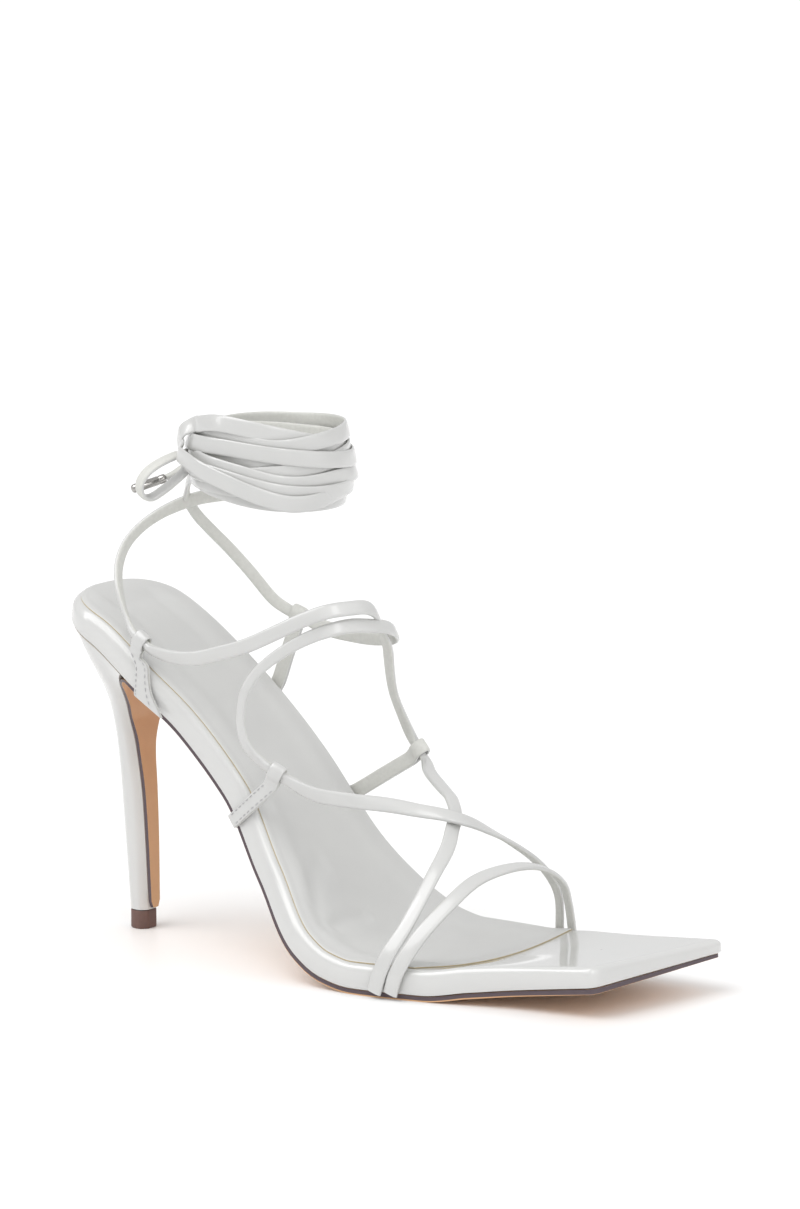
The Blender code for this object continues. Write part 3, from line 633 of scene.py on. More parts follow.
def block(name, rows, columns, layers, place, side_slot=()):
    """A grid extruded into layers, then laid out by a function of row, column and layer.

    Faces round the side of the layers in side_slot take the second material.
    """
    piece = grid(name, rows, columns)
    edit(piece)
    for _ in range(layers):
        bpy.ops.mesh.extrude_region_move(TRANSFORM_OT_translate={"value": (0.0, 0.0, 1.0)})
    bpy.ops.mesh.select_all(action="SELECT")
    bpy.ops.mesh.normals_make_consistent(inside=False)
    bpy.ops.object.mode_set(mode="OBJECT")
    for face in piece.data.polygons:
        if abs(face.normal.z) < 0.5 and int(face.center.z) in side_slot:
            face.material_index = 1
    for vertex in piece.data.vertices:
        row = round((vertex.co.x + 1) / 2 * rows)
        column = round((vertex.co.y + 1) / 2 * columns)
        vertex.co = Vector(place(row, column, round(vertex.co.z))) * MM
    return close_up(piece)


def dress(piece, slot, *materials):
    """Gives a piece its materials and its body. The slot is not used."""
    for material in materials:
        piece.data.materials.append(material)
    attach(piece, "root")
    return piece


# Bottom: platform, sock, outsole and heel

def wrap_section(x, layer):
    """Inset and depth of the platform's side: its lower edge, then its round upper one."""
    if layer < len(FEATHER_EDGE):
        inset, height = FEATHER_EDGE[layer]
        return inset, thickness(x) - height
    turn = math.radians(ROLL_ANGLES[layer - len(FEATHER_EDGE)])
    wide, tall = edge_roll(x)
    return wide * (1 - math.cos(turn)), tall * (1 - math.sin(turn))


def build_platform():
    """The wrapped board: square below, round along its top edge."""
    layers = range(len(FEATHER_EDGE) + len(ROLL_ANGLES))
    plans = [plan_rows(lambda x, layer=layer: wrap_section(x, layer)[0]) for layer in layers]

    def place(row, column, layer):
        x, lateral, medial = plans[layer][row]
        y = lateral + (medial - lateral) * column / PLATFORM_COLUMNS
        return on_last(x, y, wrap_section(x, layer)[1])

    return block("platform_wrap", len(plans[0]) - 1, PLATFORM_COLUMNS, len(layers) - 1, place)


def from_line(x, y, line):
    """Distance of a place on the last from a line of places."""
    best = math.inf
    for (ax, ay), (bx, by) in zip(line, line[1:]):
        run = (bx - ax, by - ay)
        share = ((x - ax) * run[0] + (y - ay) * run[1]) / (run[0] ** 2 + run[1] ** 2)
        share = min(max(share, 0.0), 1.0)
        best = min(best, math.hypot(x - ax - share * run[0], y - ay - share * run[1]))
    return best


def swell(edge, tall, middle, half):
    """Height of a soft ridge that runs along inside the sock's edge."""
    return tall * math.exp(-((edge - middle) / half) ** 2)


def sock_relief(x, y, edge):
    """Height of the sock's face: the roll inside its edge, the dip at the seat and the creases."""
    dip = np.clip((SEAT_DIP_FROM - x) / (SEAT_DIP_FROM - SEAT_DIP_FULL), 0, 1)
    tall = swell(edge, *SOCK_ROLL) - dip * swell(edge, *SEAT_DIP)
    for line, half, depth in SOCK_CREASES:
        off = (from_line(x, y, line) / half) ** 2
        tall -= depth * (1 - CREASE_LIP * off) * math.exp(-off / 2)
    return tall


def build_sock():
    """The glued insole cover, which ends in a slanted bow at the toe straps."""
    end = SOCK_END_X + SOCK_INSET
    plans = [plan_rows(SOCK_INSET + inset, end, SOCK_ROWS) for inset, _ in SOCK_EDGE]
    layers = len(SOCK_EDGE) - 1

    def place(row, column, layer):
        x, lateral, medial = plans[layer][row]
        share = column / SOCK_COLUMNS
        y = lateral + (medial - lateral) * share
        edge = min(y - lateral, medial - y, x - plans[layer][0][0])
        inset, height = SOCK_EDGE[layer]
        depth = roll_depth(x, SOCK_INSET + inset + edge) - height
        if layer == layers:
            depth -= sock_relief(x, y, edge) * min(1.0, edge / RELIEF_FROM)
        bow = SOCK_END_BOW * (1 - (2 * share - 1) ** 2) + SOCK_END_SKEW * y
        return on_last(x + blend(x, SOCK_END_FROM, SOCK_END_FULL) * bow, y, depth)

    return block("sock_lining", len(plans[0]) - 1, SOCK_COLUMNS, layers, place, (0,))


def heel_section(x_back, x_front, half_breast, half_wide):
    """Outline of the heel in plan: flat breast, full sides and round back."""
    x_wide = x_front - HEEL_WIDEST * (x_front - x_back)
    lateral = [(x_front, -half_breast * share) for share in BREAST_SHARES]
    for t in HEEL_SIDE:
        y = half_breast + (half_wide - half_breast) * math.sin(t * math.pi / 2)
        lateral.append((x_front - (x_front - x_wide) * t, -y))
    for turn in HEEL_BACK:
        x = x_wide - (x_wide - x_back) * math.sin(turn) ** (2 / SEAT_POWER)
        lateral.append((x, -half_wide * math.cos(turn) ** (2 / SEAT_POWER)))
    return lateral + [(x_back, 0.0)] + [(x, -y) for x, y in reversed(lateral)]


def seat_section(inset):
    """Outline of the heel's top, which follows the platform round the seat."""
    def half(x, side):
        return half_width(max(x, 0.0), side) - inset

    lateral = [(HEEL_TOP_FRONT, -half(HEEL_TOP_FRONT, -1) * share) for share in BREAST_SHARES]
    for x in HEEL_TOP_SIDE:
        lateral.append((x, -half(x, -1)))
    for turn in HEEL_BACK:
        x = -(SEAT_DEPTH - inset) * math.sin(turn) ** (2 / SEAT_POWER)
        lateral.append((x, -half(0.0, -1) * math.cos(turn) ** (2 / SEAT_POWER)))
    medial = [(x, -y * half(x, 1) / half(x, -1)) for x, y in reversed(lateral)]
    return lateral + [(inset - SEAT_DEPTH, 0.0)] + medial


def build_heel():
    """The covered stiletto: sections that tip over from level to the seat's slope."""
    rings = []
    for z_back, z_front, x_back, x_front, half_breast, half_wide in HEEL:
        ring = []
        for x, y in heel_section(x_back, x_front, half_breast, half_wide):
            share = (x_front - x) / (x_front - x_back)
            ring.append((x, y, z_front + (z_back - z_front) * share))
        rings.append(ring)
    seat = seat_section(HEEL_TOP_INSET)
    rings.append([on_last(x, y, thickness(x) + HEEL_TOP_GAP) for x, y in seat])
    rings = np.array(rings)
    places = rings[:, :, 2].mean(1)
    fine = np.linspace(places[0], places[-1], HEEL_RINGS)
    # a ring just under the top, so that the top band carries the painted shade of the seam
    fine = np.insert(fine, -1, places[-1] - HEEL_SEAM)
    result = np.zeros((len(fine), rings.shape[1], 3))
    for side in range(rings.shape[1]):
        for axis in range(3):
            curve = smooth_table(places, rings[:, side, axis])
            result[:, side, axis] = [curve(t) for t in fine]
    count = np.arange(len(fine))
    share = np.clip(np.minimum(count, count[::-1]) / HEEL_EASE_FROM, 0, 1)[:, None, None]
    result = result * (1 - share) + eased(result, HEEL_EASE) * share
    return rolled("heel_cover", result, seamed=(len(fine) - 2,))


def build_heel_tip():
    """The top piece under the heel, rounded where it meets the floor."""
    x_back, x_front, half_breast, half_wide = HEEL[0][2:]
    rings = []
    for z, inset in HEEL_TIP:
        plan = heel_section(x_back + inset, x_front - inset, half_breast - inset, half_wide - inset)
        rings.append([(x, y, z) for x, y in plan])
    return rolled("heel_top_piece", rings)


def sole_rows():
    """Rows of the sole's four corners from the toe to the breast."""
    rows = []
    for x, lateral, medial in reversed(plan_rows(OUTSOLE_INSET)):
        if x > HEEL_TOP_FRONT + OUTSOLE_STOP:
            upper = thickness(x) + GAP
            lower = upper + np.interp(x, ARCH_X, (FLAP_THICK, OUTSOLE_THICK))
            rows.append([on_last(x, y, depth) for depth in (upper, lower) for y in (lateral, medial)])
    return rows


def flap_rows():
    """Rows of the flap's four corners down the breast."""
    breast_top = on_last(HEEL_TOP_FRONT, 0.0, thickness(HEEL_TOP_FRONT) + GAP)
    breast_z = [row[1] for row in HEEL] + [breast_top[2]]
    breast_x = smooth_table(breast_z, [row[3] for row in HEEL] + [breast_top[0]])
    breast_half = smooth_table(breast_z, [row[4] for row in HEEL] + [FLAP_TOP_HALF])
    rows = []
    for z in np.concatenate([np.linspace(*stretch) for stretch in FLAP_ROWS]):
        slope = (breast_x(z + FLAP_REACH) - breast_x(z - FLAP_REACH)) / (2 * FLAP_REACH)
        out = unit((1.0, -slope))
        narrow = FLAP_END_NARROW * max(0.0, 1 - (z - FLAP_END_Z) / FLAP_END_ROUND) ** 2
        half = breast_half(z) * (1 - narrow)
        row = []
        for off in (GAP, GAP + FLAP_THICK):
            for y in (-half, half):
                row.append((breast_x(z) + out[0] * off, y, z + out[1] * off))
        rows.append(row)
    return rows


def build_outsole():
    """The sole from toe to shank, carried on down the breast as a flap."""
    sole, flap = sole_rows(), flap_rows()
    rows = np.array(sole + flap)
    first, last = len(sole) - TURN_ROWS, len(sole) + TURN_ROWS + 1
    for _ in range(TURN_PASSES):
        beside = rows[first - 1:last - 1] + rows[first + 1:last + 1]
        rows[first:last] = (beside + 2 * rows[first:last]) / 4

    def place(row, column, layer):
        upper, lower = rows[row][:2], rows[row][2:]
        painted = 1.0 - SOLE_BARE * np.interp(upper[0][0], *BARE_ALONG)
        share = (1.0, painted, 0.0)[layer]
        lateral, medial = upper * (1 - share) + lower * share
        return lateral + (medial - lateral) * column / OUTSOLE_COLUMNS

    piece = block("outsole_leather", len(rows) - 1, OUTSOLE_COLUMNS, 2, place, (1,))
    apply_modifier(piece, "BEVEL", width=OUTSOLE_ROUND * MM, segments=2, limit_method="ANGLE",
                   angle_limit=math.radians(OUTSOLE_SHARP), harden_normals=False)
    return close_up(piece)


# Straps

def outward(point):
    """Direction from the nearest point of the foot's middle line."""
    best = None
    for start, end in zip(FOOT_AXIS, FOOT_AXIS[1:]):
        start = np.array(start)
        run = np.array(end) - start
        share = np.clip(np.dot(point - start, run) / np.dot(run, run), 0, 1)
        away = point - start - share * run
        if best is None or np.linalg.norm(away) < np.linalg.norm(best):
            best = away
    return unit(best)


def places_along(points):
    """Distance of each point from the first, along them."""
    return np.concatenate(([0], np.cumsum(np.linalg.norm(np.diff(points, axis=0), axis=1))))


def route(rows, step):
    """Evenly spaced rows on a smooth curve through a route's own rows, which start with x, y, z."""
    rows = [np.array(row, float) for row in rows]
    rows = [2 * rows[0] - rows[1]] + rows + [2 * rows[-1] - rows[-2]]
    points = []
    for a, b, c, d in zip(rows, rows[1:], rows[2:], rows[3:]):
        lengths = [math.sqrt(np.linalg.norm(q[:3] - p[:3])) for p, q in ((a, b), (b, c), (c, d))]
        start = (c - b) - lengths[1] * ((c - a) / (lengths[0] + lengths[1]) - (b - a) / lengths[0])
        end = (c - b) + lengths[1] * ((d - c) / lengths[2] - (d - b) / (lengths[1] + lengths[2]))
        for t in np.linspace(0, 1, SPAN_STEPS, endpoint=False):
            points.append(
                b * (1 + 2 * t) * (1 - t) ** 2 + start * t * (1 - t) ** 2
                + c * t * t * (3 - 2 * t) + end * t * t * (t - 1)
            )
    points.append(rows[-2])
    points = np.array(points)
    places = places_along(points[:, :3])
    even = np.linspace(0, places[-1], max(2, round(places[-1] / step)))
    return np.stack([np.interp(even, places, points[:, i]) for i in range(points.shape[1])], 1)


def eased(values, window):
    """Values along a strap, each averaged with a window of rows on either side."""
    ends = np.repeat(values[:1], window, 0), np.repeat(values[-1:], window, 0)
    total = np.cumsum(np.concatenate((ends[0], values, ends[1])), 0)
    before = np.concatenate((np.zeros_like(total[:1]), total[:-2 * window - 1]))
    return (total[2 * window:] - before) / (2 * window + 1)


def unit_rows(vectors):
    return vectors / np.linalg.norm(vectors, axis=1, keepdims=True)


def runs_of(points):
    return unit_rows(np.gradient(points, axis=0))


def square_to(along, out):
    """Outward directions turned square to a strap's run."""
    return unit_rows(out - along * np.sum(out * along, 1, keepdims=True))


def faces_of(points):
    """Outward directions of a strap, square to its run and eased along it."""
    along = runs_of(points)
    out = square_to(along, np.array([outward(point) for point in points]))
    for window in FACE_EASE:
        out = eased(out, window)
    return square_to(along, out)


def band(name, points, out, wide, thick, sides=BAND_SIDES, boxy=BAND_BOXY, across=None):
    """A band with round edges along points, its flat side facing out and its lining in."""
    if across is None:
        across = np.cross(runs_of(points), out)
    wide = np.broadcast_to(wide, len(points))
    thick = np.broadcast_to(thick, len(points))
    turn = 2 * np.pi * (np.arange(sides) + 0.5) / sides
    flat = np.sign(np.cos(turn)) * np.abs(np.cos(turn)) ** boxy
    tall = np.sign(np.sin(turn)) * np.abs(np.sin(turn)) ** (boxy + BAND_CROWN)
    rings = []
    for point, side, up, w, t in zip(points, across, out, wide, thick):
        rings.append(point + side * (flat * w / 2)[:, None] + up * (tall * t / 2)[:, None])
    return rolled(name, rings, range(sides // 2, sides - 1))


def through_eye(loop, twist=0.0):
    """Rows of a lace inside a loop, where it rolls up."""
    eye, run = np.array(LOOPS[loop][3]), unit(LOOPS[loop][4])
    places = [eye + run * place for place in (-EYE_STRAIGHT, 0.0, EYE_STRAIGHT)]
    return widen(places, ROLLED_WIDE, ROLLED_THICK, twist)


def anchor(x, side):
    """Places of a strap up the side of the platform, from the outsole's edge."""
    y = side * (half_width(x, side) + ANCHOR_CLEAR + STRAP_THICK / 2)
    ahead = ANCHOR_SLANT if side < 0 else 0.0
    end = on_last(x, y, thickness(x) - ANCHOR_OVER)
    return [end, on_last(x + ahead, y + ANCHOR_SHIFT, ANCHOR_TOP)]


def widen(rows, wide, thick=STRAP_THICK, twist=0.0):
    """Rows of x, y, z, width, thickness and twist from places."""
    columns = (np.broadcast_to(value, len(rows)) for value in (wide, thick, twist))
    return [(*row, *values) for row, *values in zip(rows, *columns)]


def rest_on(offset, under):
    """Radius and lean of a flat band laid across a profile of radii."""
    best = (under.max(), 0.0)
    for low in np.flatnonzero(offset < -REST_APART):
        for high in np.flatnonzero(offset > REST_APART):
            lean = (under[high] - under[low]) / (offset[high] - offset[low])
            radius = under[low] - lean * offset[low]
            clear = np.all(under <= radius + lean * offset + REST_TOUCH)
            if abs(lean) <= RING_LEAN and radius < best[0] and clear:
                best = (radius, lean)
    return best


def wound(*ties):
    """Rows of the ties round the ankle, each band laid flat on those of the layers under it."""
    stations = {}
    results = []
    for turns in ties:
        sign = 1 if turns[-1][0] > turns[0][0] else -1
        order = [sign * row[0] for row in turns]
        height = smooth_table(order, [row[1] for row in turns])
        layer = smooth_table(order, [row[2] for row in turns])
        angles = np.arange(order[0], order[-1] + RING_STEP / 2, RING_STEP)
        result = np.zeros((len(angles), 4))
        result[:, 0] = np.radians(sign * angles)
        result[:, 1] = eased(np.array([height(angle) for angle in angles]), RING_HEIGHT_EASE)
        for i, angle in enumerate(angles):
            station = round((sign * angle - ties[0][0][0]) / RING_STEP) % round(360 / RING_STEP)
            stations.setdefault(station, []).append((layer(angle), len(results), i))
        results.append(result)
    for bands in stations.values():
        profile = np.full(len(RING_LEVELS), RING_INNER)
        for _, tie, i in sorted(bands):
            height = results[tie][i, 1]
            mine = np.abs(RING_LEVELS - height) <= TIE_WIDE / 2
            offset = RING_LEVELS[mine] - height
            radius, lean = rest_on(offset, profile[mine])
            results[tie][i, 2:] = radius + TIE_THICK / 2, math.atan(lean)
            profile[mine] = radius + lean * offset + TIE_THICK + TIE_CLEAR
    rows = []
    for result in results:
        for window in RING_EASE:
            result[:, 2:] = eased(result[:, 2:], window)
        sign = 1 if result[-1, 0] > result[0, 0] else -1
        rows.append([
            (ANKLE_X + r * math.cos(turn), r * math.sin(turn), height, TIE_WIDE, TIE_THICK, -sign * lean)
            for turn, height, r, lean in result
        ])
    return rows


def build_lace(name, rows, lifts=()):
    """A lace along its rows, lifted where it crosses another and turned by its twist."""
    rows = route(rows, LACE_STEP)
    points = rows[:, :3]
    out = faces_of(points)
    for x, y, z, reach, lift in lifts:
        away = np.linalg.norm(points - np.array((x, y, z)), axis=1) / reach
        points = points + out * (lift * np.clip(1 - away ** 2, 0, 1) ** 2)[:, None]
    along = runs_of(points)
    out = square_to(along, out)
    twist = rows[:, 5:]
    out = out * np.cos(twist) - np.cross(along, out) * np.sin(twist)
    return band(name, points, out, rows[:, 3], rows[:, 4])


def by_row(rows, table):
    """A table's value at each row of a lace."""
    return np.interp(np.arange(len(rows)), *table)


def build_laces():
    """Both laces from their toe anchors to the ends of their ties, and the toe strap."""
    lateral_ring, medial_ring, knot_ring = wound(LATERAL_TURNS, MEDIAL_TURNS, KNOT_TURNS)
    front = [*anchor(LATERAL_LACE_X, -1), *LATERAL_LACE_FRONT[::-1]]
    instep = LATERAL_LACE_INSTEP[::-1]
    lateral = [
        *widen(front, *(by_row(front, table) for table in (NEAR_WIDTH, FRONT_THICK, FRONT_TWIST))),
        *through_eye("front_medial", EYE_TWIST)[::-1],
        *widen(instep, STRAP_WIDE, twist=by_row(instep, INSTEP_TWIST)),
        *through_eye("rear_lateral")[::-1],
        *widen(LATERAL_STAY, STAY_WIDE, twist=by_row(LATERAL_STAY, STAY_TWIST)),
        *lateral_ring,
        *widen(KNOT, TIE_WIDE, TIE_THICK),
        *knot_ring,
    ]
    front = [*anchor(MEDIAL_LACE_X, 1), *MEDIAL_LACE_FRONT]
    medial = [
        *widen(front, by_row(front, FAR_WIDTH)),
        *through_eye("front_lateral"),
        *widen(MEDIAL_LACE_INSTEP, by_row(MEDIAL_LACE_INSTEP, INSTEP_WIDTH)),
        *through_eye("rear_medial"),
        *widen(MEDIAL_STAY, STAY_EDGEWAYS),
        *medial_ring,
    ]
    toe = [*anchor(TOE_STRAP_LATERAL_X, -1), *TOE_STRAP, *anchor(TOE_STRAP_MEDIAL_X, 1)[::-1]]
    toe_wide = by_row(toe, NEAR_WIDTH) + by_row(toe, FAR_WIDTH)[::-1] - STRAP_WIDE
    lateral_lifts = [row[:5] for row in CROSSINGS]
    medial_lifts = [(*row[:4], row[5]) for row in CROSSINGS]
    return [
        build_lace("lateral_lace", lateral, lateral_lifts),
        build_lace("medial_lace", medial, medial_lifts),
        build_lace("toe_strap", widen(toe, toe_wide)),
    ]


def build_stitches(name, points, wide, out, spread):
    """Two rows of thread along the edges of a loop's leg, each stitch sunk at its ends."""
    places = places_along(points)
    threads = []
    for side in (-1, 1):
        for middle in np.arange(STITCH_FIRST, places[-1] - STITCH_LAST, STITCH_PITCH):
            rings = []
            for share in np.linspace(-1, 1, STITCH_RINGS):
                at = middle + share * STITCH_LONG / 2
                centre, across, up = (
                    np.array([np.interp(at, places, rows[:, axis]) for axis in range(3)])
                    for rows in (points, wide, out))
                reach = np.interp(at, places, spread) if side < 0 else LOOP_WIDE
                centre = centre + across * side * (reach / 2 - STITCH_INSET)
                centre = centre + up * (STITCH_PROUD - STITCH_SINK * share ** 2)
                radius = STITCH_RADIUS * (1 - STITCH_TAPER * share ** 4)
                ring = []
                for turn in np.linspace(0, 2 * math.pi, STITCH_SIDES, endpoint=False):
                    ring.append(centre + radius * (across * math.cos(turn) + up * math.sin(turn)))
                rings.append(ring)
            threads.append(rolled("stitch", rings))
    pick(*threads)
    bpy.ops.object.join()
    threads[0].name = threads[0].data.name = "loop_stitches_" + name
    return threads[0]


def loop_leg(name, edge, neck, turned):
    """Rows of a loop's leg from foot to neck: place, way across, share of the full layer, width."""
    side, base_x, edge_x = LOOPS[name][:3]
    beside = GAP + LOOP_FOOT_LAYER
    bend_x = edge_x + LOOP_BEND * (base_x - edge_x)
    foot_y = side * (half_width(base_x, side) + beside)
    bend_y = side * (half_width(bend_x, side) + beside + LOOP_BEND_OUT)
    foot = on_last(base_x, foot_y, thickness(base_x) + LOOP_FOOT_UNDER)
    bend = on_last(bend_x, bend_y, LOOP_BEND_DEPTH * thickness(bend_x))
    flare = half_width(base_x + FLARE_REACH, side) - half_width(base_x - FLARE_REACH, side)
    flare /= 2 * FLARE_REACH
    legs = (foot, bend, edge, 0.5 * (edge + neck), neck)
    rows = []
    for i, (point, twist) in enumerate(zip(legs, LOOP_TWIST)):
        along = unit(legs[min(i + 1, len(legs) - 1)] - legs[max(i - 1, 0)])
        level = np.cross((0.0, 1.0, 0.0), along)
        level = unit(level + np.array((0.0, side * flare * level[0], 0.0)))
        rows.append((*point, *unit(level * (1 - twist) + turned * twist), min(i / 2, 1), LOOP_WIDE))
    if name == "rear_lateral":
        rows[:-1] = [
            (x, y, z, *unit((1.0, 0.0, cut)), min(i / 2, 1), wide)
            for i, (x, y, z, cut, wide) in enumerate(REAR_LEG)
        ]
    return route(rows, LOOP_STEP)


def build_loop(name):
    """A strap folded round the lace: up the platform's side, round the eye and back down inside."""
    side, _, edge_x, eye, run = LOOPS[name]
    run = unit(run)
    turned = math.copysign(1.0, run[0]) * run
    edge = on_last(edge_x, side * (half_width(edge_x, side) + GAP + LOOP_LAYER), LOOP_EDGE_DEPTH)
    rise = unit((eye - edge) - run * np.dot(eye - edge, run))
    leg = loop_leg(name, edge, eye - rise * (EYE_TALL + LOOP_NECK), turned)
    points, wide, spread = leg[:, :3], unit_rows(leg[:, 3:6]), leg[:, 7]
    layer = LOOP_FOOT_LAYER + (LOOP_LAYER - LOOP_FOOT_LAYER) * np.clip(leg[:, 6], 0, 1)
    out = unit_rows(np.cross(wide, runs_of(points)))
    if out[0][1] * side < 0:
        out = -out
    half = out * (layer / 2 + LOOP_SPLIT)[:, None]
    face = np.cross(rise, turned)
    if np.dot(face, out[-1]) < 0:
        face = -face
    arc = [eye + rise * EYE_TALL * math.cos(turn) + face * EYE_DEEP * math.sin(turn) for turn in EYE_ARC]
    path = np.concatenate((points + half, arc, (points - half)[::-1]))
    width = np.concatenate((wide, np.repeat(turned[None], len(arc), 0), wide[::-1]))
    thick = np.concatenate((layer, np.full(len(arc), LOOP_LAYER), layer[::-1]))
    spreads = np.concatenate((spread, np.full(len(arc), LOOP_WIDE), spread[::-1]))
    path = route(np.column_stack((path, width, thick, spreads)), FOLD_STEP)
    stitches = build_stitches(name, points + 2 * half, wide, out, spread)
    points, wide = path[:, :3], unit_rows(path[:, 3:6])
    out = unit_rows(np.cross(wide, runs_of(points)))
    fold = band("loop_fold_" + name, points, out, path[:, 7], path[:, 6], LOOP_SIDES, LOOP_BOXY, wide)
    return fold, stitches


def build_bow():
    """The bow beside the knot, a flat lace that turns back and rolls up into its tip."""
    rows = route(widen(BOW[:-2], BOW_WIDE) + widen(BOW[-2:], BOW_END_WIDE), BOW_STEP)
    points = rows[:, :3]
    out = unit_rows(np.cross(BOW_ACROSS, runs_of(points)))
    return points, band("bow", points, out, rows[:, 3], BOW_THICK)


def build_tip():
    """The metal tip: a sleeve with a rounded end along the tie's free end."""
    start = np.array(BOW[-1])
    along = unit(np.subtract(TIP_END, start))
    side = unit(np.cross(along, (0.0, 0.0, 1.0)))
    up = np.cross(side, along)
    length = np.linalg.norm(np.subtract(TIP_END, start))
    rings = []
    for place, share in TIP_SECTION:
        middle = start + along * (place if place > 0 else length + place)
        ring = []
        for turn in np.linspace(0, 2 * math.pi, TIP_SIDES, endpoint=False):
            ray = side * math.cos(turn) + up * math.sin(turn)
            ring.append(middle + ray * TIP_RADIUS * share)
        rings.append(ring)
    return rolled("metal_tip", rings)


# Materials

def linear(code):
    """Linear colour of an sRGB hex value."""
    values = [int(code[i:i + 2], 16) / 255 for i in (1, 3, 5)]
    return tuple(v / 12.92 if v <= 0.04045 else ((v + 0.055) / 1.055) ** 2.4 for v in values) + (1.0,)


def add_node(tree, kind, inputs=(), **settings):
    """Adds a node with its settings, and sets or links its inputs."""
    node = tree.nodes.new(kind)
    for name, value in settings.items():
        setattr(node, name, value)
    for name, value in dict(inputs).items():
        if isinstance(value, bpy.types.NodeSocket):
            tree.links.new(value, node.inputs[name])
        else:
            node.inputs[name].default_value = value
    return node


def new_material(name, **sockets):
    """A material with its shader's own sockets set, and its tree and coordinates."""
    material = bpy.data.materials.new(name)
    material.use_nodes = True
    tree = material.node_tree
    shader = tree.nodes["Principled BSDF"]
    for socket, value in sockets.items():
        shader.inputs[socket.replace("_", " ").title().replace("Ior", "IOR")].default_value = value
    place = add_node(tree, "ShaderNodeTexCoord").outputs["Object"]
    return material, tree, shader, place


def size_to_scale(size_mm):
    """Scale of a texture whose features are this many millimetres across."""
    return 1 / (size_mm * MM)


def mottled(name, low, high, patch, detail, **sockets):
    """A material whose colour drifts between two in patches of a size in millimetres.

    Returns it with its tree, shader, coordinates and patches.
    """
    material, tree, shader, place = new_material(name, **sockets)
    cloud = add_node(tree, "ShaderNodeTexNoise", {
        "Vector": place, "Scale": size_to_scale(patch), "Detail": detail})
    tint = add_node(tree, "ShaderNodeMix", {
        "Factor": cloud.outputs["Fac"], 6: low, 7: high}, data_type="RGBA")
    tree.links.new(tint.outputs[2], shader.inputs["Base Color"])
    return material, tree, shader, place, cloud.outputs["Fac"]


def patent_leather(name, low, high, roughness, coat_roughness, swell_mm):
    """White patent calf: a lacquer film over fine leather, so sharp highlights on a soft body."""
    material, tree, shader, place, cloud = mottled(
        name, linear(low), linear(high), 14.0, 3.0,
        coat_weight=1.0, coat_roughness=coat_roughness, ior=1.5)
    rough = add_node(tree, "ShaderNodeMapRange", {
        "Value": cloud, "To Min": roughness - 0.05, "To Max": roughness + 0.05})
    tree.links.new(rough.outputs["Result"], shader.inputs["Roughness"])
    # the hide's pores are 0.2 mm: drawn at 0.7 mm to show
    pores = add_node(tree, "ShaderNodeTexNoise", {
        "Vector": place, "Scale": size_to_scale(0.7), "Detail": 2.0})
    waves = add_node(tree, "ShaderNodeTexNoise", {
        "Vector": place, "Scale": size_to_scale(11.0), "Detail": 1.0})
    grain = add_node(tree, "ShaderNodeBump", {
        "Height": pores.outputs["Fac"], "Strength": 0.15, "Distance": 0.008 * MM})
    rolling = add_node(tree, "ShaderNodeBump", {
        "Height": waves.outputs["Fac"], "Strength": 0.4, "Distance": swell_mm * MM,
        "Normal": grain.outputs["Normal"]})
    tree.links.new(rolling.outputs["Normal"], shader.inputs["Normal"])
    return material


def sock_leather():
    """Soft sheepskin lining: matt, with a very fine grain."""
    material, tree, shader, place, _ = mottled(
        "sock_leather", linear("#C2C2C1"), linear("#CACAC8"), 22.0, 3.0, roughness=0.55, ior=1.45)
    # its pores are 0.2 mm: drawn at 0.8 mm to show
    pores = add_node(tree, "ShaderNodeTexVoronoi", {"Vector": place, "Scale": size_to_scale(0.8)})
    bump = add_node(tree, "ShaderNodeBump", {
        "Height": pores.outputs["Distance"], "Strength": 0.2, "Distance": 0.03 * MM})
    tree.links.new(bump.outputs["Normal"], shader.inputs["Normal"])
    return material


def sole_leather():
    """Tan sole leather with a waxed face: close fibre grain and a dull shine."""
    material, tree, shader, place, _ = mottled(
        "sole_leather", linear("#C69A71"), linear("#D1A67D"), 9.0, 5.0, roughness=0.42, ior=1.48)
    # its fibres are 0.1 mm: drawn at 0.6 mm to show
    fibre = add_node(tree, "ShaderNodeTexNoise", {
        "Vector": place, "Scale": size_to_scale(0.6), "Detail": 3.0})
    bump = add_node(tree, "ShaderNodeBump", {
        "Height": fibre.outputs["Fac"], "Strength": 0.3, "Distance": 0.04 * MM})
    tree.links.new(bump.outputs["Normal"], shader.inputs["Normal"])
    return material


def dull_face(name, code, roughness):
    """A matt, slightly uneven face, such as paint brushed along a cut leather edge."""
    colour = linear(code)
    dark = tuple(0.82 * c for c in colour[:3]) + (1.0,)
    # its marks are 0.2 mm: drawn at 1.2 mm to show
    material, tree, shader, _, marks = mottled(name, dark, colour, 1.2, 3.0, roughness=roughness, ior=1.48)
    bump = add_node(tree, "ShaderNodeBump", {
        "Height": marks, "Strength": 0.3, "Distance": 0.05 * MM})
    tree.links.new(bump.outputs["Normal"], shader.inputs["Normal"])
    return material


def nickel():
    """Polished nickel plate on the tie's tip: near-mirror, with faint rubbing."""
    material, tree, shader, place = new_material(
        "nickel_plate", base_color=linear("#A9A7A4"), metallic=1.0, roughness=0.1)
    # rub marks are 0.1 mm: drawn at 0.9 mm to show
    rub = add_node(tree, "ShaderNodeTexNoise", {
        "Vector": place, "Scale": size_to_scale(0.9), "Detail": 2.0})
    rough = add_node(tree, "ShaderNodeMapRange", {
        "Value": rub.outputs["Fac"], "To Min": 0.07, "To Max": 0.16})
    tree.links.new(rough.outputs["Result"], shader.inputs["Roughness"])
    return material


# Studio

